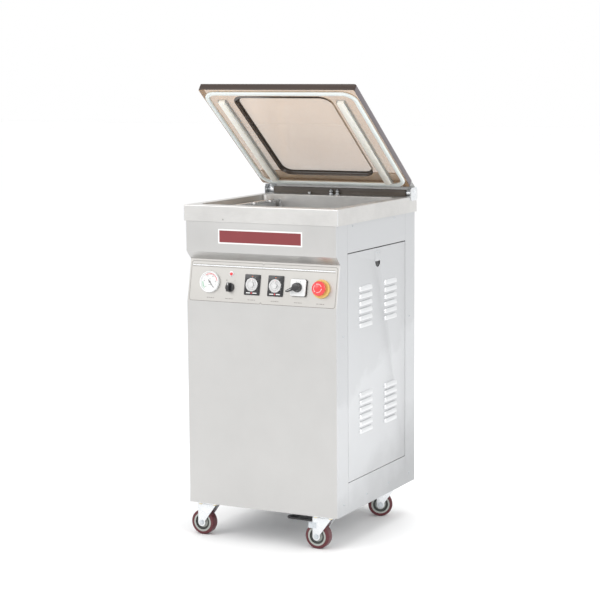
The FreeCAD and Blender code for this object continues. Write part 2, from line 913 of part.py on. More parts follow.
def hinge_adjusters():
    y = pivot_y - beam_front - adjuster_nut - adjuster_gap
    studs = []
    for dx in (-adjuster_pitch / 2, adjuster_pitch / 2):
        at = vec(adjuster_x + dx, y, rim_top)
        stud = Part.makeCylinder(adjuster_radius, adjuster_height, at)
        for lift in (0, adjuster_nut_lift):
            stud = stud.fuse(hexagon(adjuster_nut, adjuster_nut_height, at.add(vec(0, 0, lift))))
        studs.append(stud)
    return studs


# ---------------------------------------------------------------- controls

def spot(place):
    share, up = place
    return share * inner_x, up


def on_panel(shape):
    """From the panel's own frame (x, up the slope, outward) to its place on the cabinet."""
    shape = shape.copy()
    shape.rotate(vec(0, 0, 0), vec(1, 0, 0), panel_angle)
    shape.translate(vec(0, front_y, fold_height))
    return shape


def disc(place, radius, low, high):
    x, up = spot(place)
    return Part.makeCylinder(radius, high - low, vec(x, up, low))


def block_at(place, width, height, low, high):
    x, up = spot(place)
    return box(x - width / 2, x + width / 2, up - height / 2, up + height / 2, low, high)


def turned_bar(place, left, right, half_width, low, high, angle):
    x, up = spot(place)
    bar = box(x - left, x + right, up - half_width, up + half_width, low, high)
    bar.rotate(vec(x, up, 0), vec(0, 0, 1), angle)
    return bar


def control_panel():
    deep = -2 * sheet
    holes = [disc(gauge_place, gauge_can, deep, sheet), disc(lamp_place, lamp_neck, deep, sheet),
             disc(knob_place, stem_hole, deep, sheet), disc(stop_place, stop_body, deep, sheet)]
    for place in timer_places + (switch_place,):
        holes.append(block_at(place, device_width, device_width, deep, sheet))
    panel = front_sheet(1, 2)
    for hole in holes:
        panel = panel.cut(on_panel(hole))
    return panel


def gauge_case():
    can = disc(gauge_place, gauge_can, -gauge_can_depth, 0)
    bezel = disc(gauge_place, gauge_radius, 0, gauge_proud)
    return can.fuse(bezel).cut(disc(gauge_place, gauge_radius - gauge_rim, needle_level, gauge_proud))


def gauge_needle():
    low = needle_level + run_gap
    hub = disc(gauge_place, needle_hub, low, low + needle_hub_height)
    reach = gauge_radius - gauge_rim - needle_short
    pointer_low = low + needle_hub_height / 4
    pointer = turned_bar(gauge_place, reach / needle_tail_share, reach, needle_half_width, pointer_low,
                         pointer_low + needle_half_width, needle_angle)
    return hub.fuse(pointer)


def power_lamp():
    return disc(lamp_place, lamp_radius, 0, lamp_proud).fuse(disc(lamp_place, lamp_neck, -lamp_depth, 0))


def power_knob():
    skirt = disc(knob_place, knob_radius, run_gap, knob_skirt)
    grip = block_at(knob_place, knob_grip, 2 * knob_radius, knob_skirt, knob_top)
    grip = grip.common(disc(knob_place, knob_radius - run_gap, knob_skirt, knob_top))
    return skirt.fuse(grip).fuse(disc(knob_place, stem_radius, -stem_depth, run_gap))


def timer_body(place):
    flange = block_at(place, timer_width, timer_height, 0, timer_proud)
    body = block_at(place, device_width, device_width, -device_depth, 0)
    return flange.fuse(body).cut(disc(place, stem_radius + fit_gap, -stem_depth, timer_proud))


def timer_dial(place):
    low = timer_proud + run_gap
    face = low + dial_thick
    dial = disc(place, dial_radius, low, face)
    boss = disc(place, dial_boss, face, face + dial_boss_height)
    x, up = spot(place)
    pointer = box(x - pointer_half_width, x + pointer_half_width, up, up + pointer_length, face,
                  face + pointer_height)
    stem = disc(place, stem_radius, run_gap - stem_depth, low)
    return dial.fuse(boss).fuse(pointer).fuse(stem)


def switch_body():
    flange = block_at(switch_place, switch_size, switch_size, 0, switch_proud)
    body = block_at(switch_place, device_width, device_width, -device_depth, 0)
    return flange.fuse(body).cut(disc(switch_place, stem_radius + fit_gap, -stem_depth, switch_proud))


def switch_knob():
    low = switch_proud + run_gap
    middle = low + switch_skirt_height
    top = middle + switch_hub_height
    skirt = disc(switch_place, switch_skirt, low, middle)
    hub = disc(switch_place, switch_hub, middle, top)
    lever = turned_bar(switch_place, lever_long, lever_short, lever_half_width, middle, top, lever_angle)
    stem = disc(switch_place, stem_radius, run_gap - stem_depth, low)
    return skirt.fuse(hub).fuse(lever).fuse(stem)


def stop_ring():
    ring = disc(stop_place, stop_collar, 0, stop_collar_height)
    body = disc(stop_place, stop_body, -stop_body_depth, 0)
    return ring.fuse(body).cut(disc(stop_place, stop_stem + fit_gap, -stop_bore_depth, stop_collar_height))


def stop_button():
    low = stop_collar_height + stop_travel + run_gap
    x, up = spot(stop_place)
    dome = Part.makeSphere(stop_dome, vec(x, up, low + stop_head_height - stop_dome))
    head = disc(stop_place, stop_head, low, low + stop_head_height).common(dome)
    return disc(stop_place, stop_stem, -stop_stem_depth, low).fuse(head)


# ---------------------------------------------------------------- pump and electrics

def vacuum_pump():
    y = pump_depth / 2
    body = box(pump_left, pump_right, -y, y, pump_low, pump_high)
    for k in range(slot_count):
        x = pump_left + slot_first + k * slot_pitch
        body = body.cut(box(x, x + slot_width, -y, -y + slot_depth, pump_low + slot_foot, pump_high))
    inlet = rod(hose_radius + hose_collar, vec(0, 0, pump_high), vec(0, 0, hose_start))
    sight_z = pump_low + sight_up
    sight = rod(sight_radius, vec(pump_right, 0, sight_z), vec(pump_right + sight_proud, 0, sight_z))
    return body.fuse(inlet).fuse(sight)


def pump_mounts():
    mounts = []
    for x in (pump_left + pump_mount_inset, pump_right - pump_mount_inset):
        for y in (pump_mount_inset - pump_depth / 2, pump_depth / 2 - pump_mount_inset):
            mounts.append(rod(pump_mount_radius, vec(x, y, base_top), vec(x, y, pump_low)))
    return mounts


def exhaust_filter():
    x = pump_right - filter_from_end
    can_top = pump_high + filter_height
    can = rod(filter_radius, vec(x, 0, pump_high), vec(x, 0, can_top))
    return can.fuse(rod(filter_cap, vec(x, 0, can_top), vec(x, 0, can_top + filter_cap_height)))


def pump_motor():
    motor = rod(motor_radius, vec(motor_left, 0, motor_z), vec(pump_left, 0, motor_z))
    for k in range(fin_count):
        a = vec(motor_left + fin_first + k * fin_pitch, 0, motor_z)
        b = a.add(vec(fin_gap, 0, 0))
        motor = motor.cut(rod(motor_radius, a, b).cut(rod(motor_radius - fin_depth, a, b)))
    foot = box(motor_left + foot_from_fan, pump_left - foot_from_pump, -foot_half_width, foot_half_width,
               base_top, motor_z - motor_radius + foot_overlap)
    return motor.fuse(foot)


def hose_path():
    low_turn = hose_start + hose_bend
    high_turn = low_turn + 2 * hose_bend
    middle = (low_turn + high_turn) / 2
    lead = hose_bend / 4
    spline = Part.BSplineCurve()
    spline.buildFromPoles([vec(0, 0, low_turn), vec(0, 0, middle - lead), vec(hose_shift / 2, 0, middle),
                           vec(hose_shift, 0, middle + lead), vec(hose_shift, 0, high_turn)])
    rise = Part.makeLine(vec(0, 0, hose_start), vec(0, 0, low_turn))
    end = Part.makeLine(vec(hose_shift, 0, high_turn), vec(hose_shift, 0, tub_under - hose_flange_thick))
    return Part.Wire([rise, spline.toShape(), end])


def vacuum_hose():
    path = hose_path()
    skins = []
    for radius in (hose_radius, hose_bore):
        ring = Part.Wire(Part.makeCircle(radius, vec(0, 0, hose_start), vec(0, 0, 1)))
        skins.append(path.makePipeShell([ring], True, True))
    flange = rod(hose_radius + hose_flange, vec(hose_shift, 0, tub_under - hose_flange_thick),
                 vec(hose_shift, 0, tub_under))
    return [skins[0].cut(skins[1]), flange]


def valve_block():
    y1 = open_back - valve_from_back
    y0 = y1 - valve_depth
    low = tub_under - valve_height
    block = box(valve_left, valve_left + valve_width, y0, y1, low, tub_under)
    for k in range(coil_count):
        at = vec(valve_left + coil_first + k * coil_pitch, (y0 + y1) / 2, low - coil_height)
        block = block.fuse(Part.makeCylinder(coil_radius, coil_height, at))
    return block


def transformer():
    x = inner_x - transformer_from_side
    y = back_y - transformer_from_back
    core = box(x - core_width / 2, x + core_width / 2, y - core_depth / 2, y + core_depth / 2,
               base_top, base_top + core_height)
    low = base_top + winding_up
    winding = box(x - winding_width / 2, x + winding_width / 2, y - winding_depth / 2, y + winding_depth / 2,
                  low, low + winding_height)
    return core.fuse(winding)


def electrical_panel():
    x0 = board_thick - inner_x
    low = base_top + board_up
    pieces = [box(-inner_x, x0, board_front, board_front + board_length, low, low + board_height)]
    for row in range(device_rows):
        z = low + device_row_first + row * device_row_pitch
        for column in range(device_columns):
            y = board_front + device_column_first + column * device_column_pitch
            depth = device_shallow + device_deeper * ((row + column) % 2)
            pieces.append(box(x0, x0 + depth, y, y + device_length, z, z + device_height))
    return pieces


# ---------------------------------------------------------------- casters

def caster_centres():
    centres = {}
    for name, turn in caster_turn.items():
        x = caster_x if "right" in name else -caster_x
        y = front_caster_y if "front" in name else rear_caster_y
        centres[name] = (x, y, turn)
    return centres


def at_caster(shape, centre):
    """From a caster's own frame (trail along +X) to its place under the base."""
    x, y, turn = centre
    shape = shape.copy()
    shape.rotate(vec(0, 0, 0), vec(0, 0, 1), turn)
    shape.translate(vec(x, y, 0))
    return shape


def caster_plate(centre):
    x, y, turn = centre
    half = plate_size / 2
    low = caster_height - plate_thick
    plate = box(x - half, x + half, y - half, y + half, low, caster_height)
    return plate.fuse(rod(king_radius, vec(x, y, low - crown_height), vec(x, y, caster_height)))


def caster_bolts(centre):
    x, y, turn = centre
    low = caster_height - plate_thick - bolt_head_height
    half = bolt_pitch / 2
    return [hexagon(bolt_head, bolt_head_height, vec(x + dx, y + dy, low)) for dx in (-half, half)
            for dy in (-half, half)]


def fork_cheek(y0, low):
    top = low + fork_sheet
    lean = math.radians(cheek_tangent)
    across = axle_boss * math.cos(lean)
    up = axle_boss * math.sin(lean)
    outline = [(bridge_inset - crown_radius, top), (crown_radius, top),
               (caster_trail + across, wheel_radius + up), (caster_trail - across, wheel_radius - up)]
    cheek = prism_y(outline, y0, y0 + fork_sheet)
    at = vec(caster_trail, y0, wheel_radius)
    boss = rod(axle_boss, at, at.add(vec(0, fork_sheet, 0)))
    return cheek.fuse(boss)


def caster_fork():
    top = caster_height - plate_thick - run_gap
    low = top - crown_height
    gap = wheel_width / 2 + fork_side_gap
    out = gap + fork_sheet
    fork = rod(crown_radius, vec(0, 0, low), vec(0, 0, top))
    fork = fork.fuse(box(bridge_inset - crown_radius, crown_radius, -out, out, low, low + fork_sheet))
    fork = fork.fuse(fork_cheek(-out, low)).fuse(fork_cheek(gap, low))
    fork = fork.cut(rod(king_radius + fit_gap, vec(0, 0, low), vec(0, 0, top)))
    a = vec(caster_trail, -out, wheel_radius)
    b = vec(caster_trail, out, wheel_radius)
    axle = rod(axle_radius, a, b)
    fork = fork.cut(axle).removeSplitter()
    axle = axle.fuse(rod(axle_head, a.add(vec(0, -bolt_head_height, 0)), a))
    return [fork, axle.fuse(rod(axle_head, b, b.add(vec(0, bolt_head_height, 0))))]


def caster_wheel():
    half = wheel_width / 2
    hub_radius = wheel_radius - tread_depth
    a = vec(caster_trail, -half, wheel_radius)
    b = vec(caster_trail, half, wheel_radius)
    tread = rod(wheel_radius, a, b)
    tread = tread.makeFillet(wheel_edge_radius, [e for e in tread.Edges if e.Length > wheel_radius])
    hub = rod(hub_radius, a, b)
    for start, depth in ((a, hub_dish), (b, -hub_dish)):
        end = start.add(vec(0, depth, 0))
        hub = hub.cut(rod(hub_radius - hub_rim, start, end).cut(rod(hub_boss, start, end)))
    return [tread.cut(rod(hub_radius, a, b)), hub.cut(rod(axle_radius + fit_gap, a, b))]


def brake_pedal():
    half = wheel_width / 2 - pedal_side_gap
    arm_end = pedal_ahead + pedal_arm
    high = pedal_z + pedal_thick / 2
    low = pedal_z - pedal_thick / 2
    a = vec(pedal_ahead, -half, pedal_z)
    b = vec(pedal_ahead, half, pedal_z)
    arm = box(pedal_ahead, arm_end, -half, half, low + pedal_side_gap, high)
    wide = half + pad_wider
    pad = box(arm_end - pad_overlap, pedal_reach, -wide, wide, low, high)
    pad = pad.makeFillet(pad_radius, pad.Edges)
    return rod(pedal_barrel, a, b).fuse(arm).fuse(pad).cut(rod(pedal_pin + fit_gap, a, b))


def brake_pin():
    half = wheel_width / 2 + fork_side_gap
    return rod(pedal_pin, vec(pedal_ahead, -half, pedal_z), vec(pedal_ahead, half, pedal_z))


# ---------------------------------------------------------------- write the parts

os.makedirs("parts", exist_ok=True)

save("base_frame", base_frame())
save("front_panel", front_sheet(0, 1))
save("control_panel", control_panel())
save("head_panel", front_sheet(2, 4))
save("side_panel_left", side_sheet(-side_x, -inner_x))
save("side_panel_right", right_side())
save("rear_cover", rear_cover())
save("nameplate", nameplate())
save("panel_screws", *panel_screws())
save("rear_fittings", cable_gland(), gas_inlet())
save("service_door", service_door())
save("latch_plate", *latch_plate())
save("latch_tongue", latch_tongue())
save("chamber", chamber())
save("lid_switch_plunger", switch_plunger())
save("lift_cylinders", *lift_cylinders())
save("gas_nozzle_pipe", gas_pipe())
save("chamber_posts", slim_post(), cap_post())
save("lid_plate", open_lid(lid_plate()))
save("lid_gasket", open_lid(gasket_ring(lid_under - gasket_proud, lid_under + gasket_seat)))
save("strip_channels", open_lid(strip_channel(-1)), open_lid(strip_channel(1)))
save("pressure_strips", open_lid(pressure_strip(-1)), open_lid(pressure_strip(1)))
save("lid_rail", open_lid(lid_rail()))
save("lid_bushes", *[open_lid(bush) for bush in lid_bushes()])
save("hinge_beam", hinge_beam())
save("hinge_shaft", hinge_shaft())
save("hinge_end_plates", *end_plates())
save("torsion_springs", *torsion_springs())
save("hinge_adjusters", *hinge_adjusters())
save("gauge_case", on_panel(gauge_case()))
save("gauge_needle", on_panel(gauge_needle()))
save("power_lamp", on_panel(power_lamp()))
save("power_knob", on_panel(power_knob()))
save("timer_bodies", *[on_panel(timer_body(place)) for place in timer_places])
save("vacuum_timer_dial", on_panel(timer_dial(timer_places[0])))
save("sealing_timer_dial", on_panel(timer_dial(timer_places[1])))
save("cam_switch_body", on_panel(switch_body()))
save("cam_switch_knob", on_panel(switch_knob()))
save("stop_collar", on_panel(stop_ring()))
save("stop_button", on_panel(stop_button()))
save("vacuum_pump", vacuum_pump(), *pump_mounts(), exhaust_filter())
save("pump_motor", pump_motor())
save("vacuum_hose", *vacuum_hose())
save("valve_block", valve_block())
save("transformer", transformer())
save("electrical_panel", *electrical_panel())
for name, side in (("left", -1), ("right", 1)):
    save("seal_bar_" + name, seal_bar(side))
    save("heating_strip_" + name, heating_strip(side))
plates = [caster_plate(centre) for centre in caster_centres().values()]
bolts = [bolt for centre in caster_centres().values() for bolt in caster_bolts(centre)]
save("caster_plates", *plates, *bolts)
for name, centre in caster_centres().items():
    fork = [at_caster(piece, centre) for piece in caster_fork()]
    if name == "front_right":
        fork.append(at_caster(brake_pin(), centre))
    save("caster_fork_" + name, *fork)
    save("caster_wheel_" + name, *[at_caster(piece, centre) for piece in caster_wheel()])
save("brake_pedal", at_caster(brake_pedal(), caster_centres()["front_right"]))
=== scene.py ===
import bmesh
import bpy
import json
import math
from mathutils import Matrix, Vector


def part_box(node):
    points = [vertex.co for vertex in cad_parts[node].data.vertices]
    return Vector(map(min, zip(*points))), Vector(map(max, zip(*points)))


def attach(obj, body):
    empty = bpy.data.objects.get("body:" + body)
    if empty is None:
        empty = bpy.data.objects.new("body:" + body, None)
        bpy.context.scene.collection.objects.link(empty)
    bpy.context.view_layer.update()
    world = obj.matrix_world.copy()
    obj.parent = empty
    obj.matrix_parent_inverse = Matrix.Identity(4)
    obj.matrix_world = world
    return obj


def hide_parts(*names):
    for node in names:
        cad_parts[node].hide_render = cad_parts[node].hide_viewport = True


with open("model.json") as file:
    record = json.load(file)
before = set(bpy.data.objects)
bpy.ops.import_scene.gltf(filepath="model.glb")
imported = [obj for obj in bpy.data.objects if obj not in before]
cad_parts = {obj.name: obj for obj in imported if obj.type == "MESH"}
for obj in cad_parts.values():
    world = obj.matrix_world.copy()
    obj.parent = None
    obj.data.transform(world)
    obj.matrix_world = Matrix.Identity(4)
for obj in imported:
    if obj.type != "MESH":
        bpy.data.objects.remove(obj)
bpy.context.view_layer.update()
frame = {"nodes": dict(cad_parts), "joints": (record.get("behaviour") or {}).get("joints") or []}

mm = 0.001
joints = {joint["name"]: joint for joint in frame["joints"]}
right = Vector((1, 0, 0))


def low(node):
    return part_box(node)[0]


def high(node):
    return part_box(node)[1]


def middle(node):
    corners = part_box(node)
    return (corners[0] + corners[1]) / 2


# the camera and the studio

cameraSetup = {
    "place": (2.4556, -4.8152, 1.4091),
    "yaw": 27.14,
    "pitch": -7.6,
    "roll": -0.41,
    "lens": 108.74,
    "sensor": 36.0,
}


def makeCamera(setup):
    yaw = math.radians(setup["yaw"])
    pitch = math.radians(setup["pitch"])
    roll = math.radians(setup["roll"])
    ahead = Vector((-math.sin(yaw) * math.cos(pitch), math.cos(yaw) * math.cos(pitch), math.sin(pitch)))
    side = Vector((math.cos(yaw), math.sin(yaw), 0))
    above = side.cross(ahead)
    across = side * math.cos(roll) + above * math.sin(roll)
    upward = above * math.cos(roll) - side * math.sin(roll)
    turn = Matrix((across, upward, -ahead)).transposed().to_4x4()
    camera = bpy.data.objects.new("camera", bpy.data.cameras.new("camera"))
    camera.matrix_world = Matrix.Translation(setup["place"]) @ turn
    camera.data.lens = setup["lens"]
    camera.data.sensor_width = setup["sensor"]
    camera.data.clip_end = 60
    bpy.context.scene.collection.objects.link(camera)
    bpy.context.scene.camera = camera


studio = {
    "world": (1.0, 1.0, 1.0),
    "worldStrength": 1.0,
    "floorSize": 60.0,
    "lamps": [
        ("keyLamp", (-2.2, -3.2, 3.4), (0, 0, 0.7), 3.0, 64),
        ("rightLamp", (3.6, -1.0, 2.6), (0, 0, 0.6), 2.4, 46),
        ("topLamp", (0.2, 0.6, 3.6), (0, 0, 0.9), 2.2, 35),
    ],
}


def makeStudio(setup):
    world = bpy.data.worlds.new("studio")
    world.use_nodes = True
    sky = world.node_tree.nodes["Background"]
    sky.inputs["Color"].default_value = (*setup["world"], 1)
    sky.inputs["Strength"].default_value = setup["worldStrength"]
    bpy.context.scene.world = world
    for name, place, aim, size, watts in setup["lamps"]:
        light = bpy.data.lights.new(name, "AREA")
        light.size = size
        light.energy = watts
        lamp = bpy.data.objects.new(name, light)
        lamp.location = place
        lamp.visible_camera = False
        lamp.rotation_euler = (Vector(aim) - Vector(place)).to_track_quat("-Z", "Y").to_euler()
        bpy.context.scene.collection.objects.link(lamp)
    bpy.context.scene.view_settings.view_transform = "Standard"
    bpy.context.scene.view_settings.look = "None"


# shaders: a value on its way through a tree, so that sums read as Python

class Wire:
    def __init__(self, tree, socket):
        self.tree = tree
        self.socket = socket

    def maths(self, operation, first, second):
        return self.tree.add("ShaderNodeMath", {"operation": operation}, {0: first, 1: second})

    def __add__(self, other):
        return self.maths("ADD", self, other)

    def __sub__(self, other):
        return self.maths("SUBTRACT", self, other)

    def __mul__(self, other):
        return self.maths("MULTIPLY", self, other)

    __radd__ = __add__
    __rmul__ = __mul__


class ShaderTree:
    def __init__(self, name):
        self.material = bpy.data.materials.new(name)
        self.material.use_nodes = True
        self.nodes = self.material.node_tree.nodes
        self.links = self.material.node_tree.links
        self.shader = self.nodes["Principled BSDF"]

    def add(self, kind, settings, values, out=0):
        node = self.nodes.new(kind)
        for key, value in settings.items():
            if key == "stops":
                self.setStops(node.color_ramp, value)
            else:
                setattr(node, key, value)
        self.feed(node, values)
        return Wire(self, node.outputs[out])

    def setStops(self, ramp, stops):
        while len(ramp.elements) < len(stops):
            ramp.elements.new(0.5)
        for element, (place, colour) in zip(ramp.elements, stops):
            element.position = place
            element.color = (*colour, 1)

    def feed(self, node, values):
        for key, value in values.items():
            socket = node.inputs[key]
            if isinstance(value, Wire):
                self.links.new(value.socket, socket)
            elif isinstance(value, tuple) and len(value) == 3 and len(socket.default_value) == 4:
                socket.default_value = (*value, 1)
            else:
                socket.default_value = value

    def finish(self, values):
        self.feed(self.shader, values)
        return self.material

    def place(self, scale=(1, 1, 1)):
        coords = self.add("ShaderNodeTexCoord", {}, {}, "Object")
        return self.add("ShaderNodeVectorMath", {"operation": "MULTIPLY"}, {0: coords, 1: scale})

    def noise(self, scale, detail=2.0, roughness=0.5):
        return self.add("ShaderNodeTexNoise", {}, {"Vector": self.place(scale), "Scale": 1.0, "Detail": detail,
                                                   "Roughness": roughness})

    def mix(self, factor, first, second):
        return self.add("ShaderNodeMix", {"data_type": "RGBA"}, {0: factor, 6: first, 7: second}, 2)

    def ramp(self, factor, stops):
        return self.add("ShaderNodeValToRGB", {"stops": stops}, {0: factor})

    def bump(self, height, distance, strength=1.0):
        return self.add("ShaderNodeBump", {}, {"Height": height, "Distance": distance, "Strength": strength})


def dimmed(tone, share):
    return tuple(value * share for value in tone)


def brushedSteel(name, tone, grain, roughness=0.34, blotch=0.06):
    tree = ShaderTree(name)
    fine = tree.noise(grain, 3.0, 0.7)
    broad = tree.noise((3.1, 3.1, 3.1), 2.0)
    cloud = tree.noise((14, 14, 14), 3.0, 0.6)
    shade = broad * 0.5 + cloud * 0.3 + fine * 0.2
    darker = dimmed(tone, 1 - 2.2 * blotch)
    lighter = tuple(min(1, value * (1 + 1.2 * blotch)) for value in tone)
    colour = tree.ramp(shade, [(0.3, darker), (0.7, lighter)])
    rough = roughness + (fine - 0.5) * 0.14 + (cloud - 0.5) * 0.1
    return tree.finish({"Base Color": colour, "Metallic": 0.9, "Roughness": rough,
                        "Normal": tree.bump(fine, 0.00004, 0.5)})


# side steel with painted shade: darker towards the bottom, a little darker at the very top and towards the back, over
# a random cloud
def foldedSide(name, tone):
    tree = ShaderTree(name)
    fine = tree.noise((900, 9, 900), 3.0, 0.7)
    cloud = tree.noise((7, 7, 7), 3.0, 0.6)
    height = tree.add("ShaderNodeSeparateXYZ", {}, {0: tree.place()}, 2)
    along = tree.add("ShaderNodeSeparateXYZ", {}, {0: tree.place()}, 1)
    # painted shade: the tone falls with height and with depth
    rise = height * 1.6 + cloud * 0.35 - along * 0.5
    colour = tree.ramp(rise, [(0.3, dimmed(tone, 0.68)), (0.62, dimmed(tone, 0.94)), (0.95, tone),
                              (1.0, dimmed(tone, 0.93))])
    return tree.finish({"Base Color": colour, "Metallic": 0.9, "Roughness": 0.4 + (fine - 0.5) * 0.14,
                        "Normal": tree.bump(fine, 0.00004, 0.5)})


def moulded(name, tone, roughness=0.45, texture=900, depth=0.00004, coat=0.0):
    tree = ShaderTree(name)
    grain = tree.noise((texture, texture, texture), 2.0)
    wear = tree.noise((22, 22, 22), 3.0, 0.6)
    colour = tree.mix(wear, dimmed(tone, 0.86), tone)
    return tree.finish({"Base Color": colour, "Roughness": roughness + (wear - 0.5) * 0.16,
                        "Coat Weight": coat, "Coat Roughness": 0.08, "Normal": tree.bump(grain, depth, 0.6)})


def zincPlate(name, tone=(0.66, 0.7, 0.73), roughness=0.33):
    tree = ShaderTree(name)
    spangle = tree.add("ShaderNodeTexVoronoi", {}, {"Vector": tree.place((130, 130, 130)), "Scale": 1.0}, 1)
    cell = tree.add("ShaderNodeSeparateColor", {}, {0: spangle})
    smear = tree.noise((60, 60, 60), 3.0, 0.6)
    colour = tree.mix(smear * 0.6 + cell * 0.4, dimmed(tone, 0.86), tone)
    return tree.finish({"Base Color": colour, "Metallic": 0.85, "Roughness": roughness + (smear - 0.5) * 0.2,
                        "Normal": tree.bump(smear, 0.00005, 0.4)})


def tintedClear(name, tone, alpha, roughness=0.08):
    tree = ShaderTree(name)
    haze = tree.noise((5, 5, 5), 2.0)
    colour = tree.mix(haze, dimmed(tone, 0.93), tone)
    return tree.finish({"Base Color": colour, "Alpha": alpha + (haze - 0.5) * 0.08, "Roughness": roughness,
                        "Specular IOR Level": 0.5})


def sawnEdge(name, tone, roughness, stretch, coat=0.3):
    tree = ShaderTree(name)
    lines = tree.noise(stretch, 3.0, 0.7)
    broad = tree.noise((9, 9, 9), 2.0)
    colour = tree.mix(broad * 0.6 + lines * 0.4, dimmed(tone, 0.55), tone)
    return tree.finish({"Base Color": colour, "Roughness": roughness, "Coat Weight": coat, "Coat Roughness": 0.15,
                        "Normal": tree.bump(lines, 0.00005, 0.6)})


def softSilicone(name, tone, roughness=0.5):
    tree = ShaderTree(name)
    dust = tree.noise((40, 40, 40), 4.0, 0.7)
    colour = tree.mix(dust, dimmed(tone, 0.9), tone)
    return tree.finish({"Base Color": colour, "Roughness": roughness + (dust - 0.5) * 0.2, "Subsurface Weight": 0.15,
                        "Subsurface Radius": (0.004, 0.004, 0.003), "Normal": tree.bump(dust, 0.00006, 0.4)})


def wovenTape(name, tone):
    tree = ShaderTree(name)
    wave, weft = [tree.add("ShaderNodeTexWave", {"bands_direction": way},
                           {"Vector": tree.place((700, 700, 700)), "Scale": 1.0}) for way in ("X", "Y")]
    scorch = tree.noise((8, 30, 8), 3.0, 0.6)
    colour = tree.mix(scorch, dimmed(tone, 0.72), tone)
    return tree.finish({"Base Color": colour, "Roughness": 0.5, "Normal": tree.bump(wave * weft, 0.0001, 0.5)})


def castSkin(name, tone):
    tree = ShaderTree(name)
    sand = tree.noise((420, 420, 420), 3.0, 0.7)
    grime = tree.noise((18, 18, 18), 4.0, 0.6)
    colour = tree.mix(grime, dimmed(tone, 0.6), tone)
    return tree.finish({"Base Color": colour, "Roughness": 0.42 + grime * 0.25, "Metallic": 0.1,
                        "Normal": tree.bump(sand, 0.0003, 0.6)})


def clearGlass(name):
    tree = ShaderTree(name)
    smudge = tree.noise((30, 30, 30), 3.0)
    return tree.finish({"Base Color": (0.95, 0.97, 0.98), "Alpha": 0.08 + smudge * 0.04, "Roughness": 0.03,
                        "Specular IOR Level": 0.7})


def studioFloor(name):
    tree = ShaderTree(name)
    cloud = tree.noise((0.8, 0.8, 0.8), 2.0)
    away = tree.add("ShaderNodeVectorMath", {"operation": "LENGTH"}, {0: tree.place()}, 1)
    glow = tree.ramp(away * 0.1, [(0.2, (0, 0, 0)), (0.5, (0.06, 0.06, 0.06))])  # no edge shows against the sky
    return tree.finish({"Base Color": tree.mix(cloud, (0.93, 0.93, 0.93), (0.95, 0.95, 0.95)), "Roughness": 0.75,
                        "Emission Color": glow, "Emission Strength": 1.0})


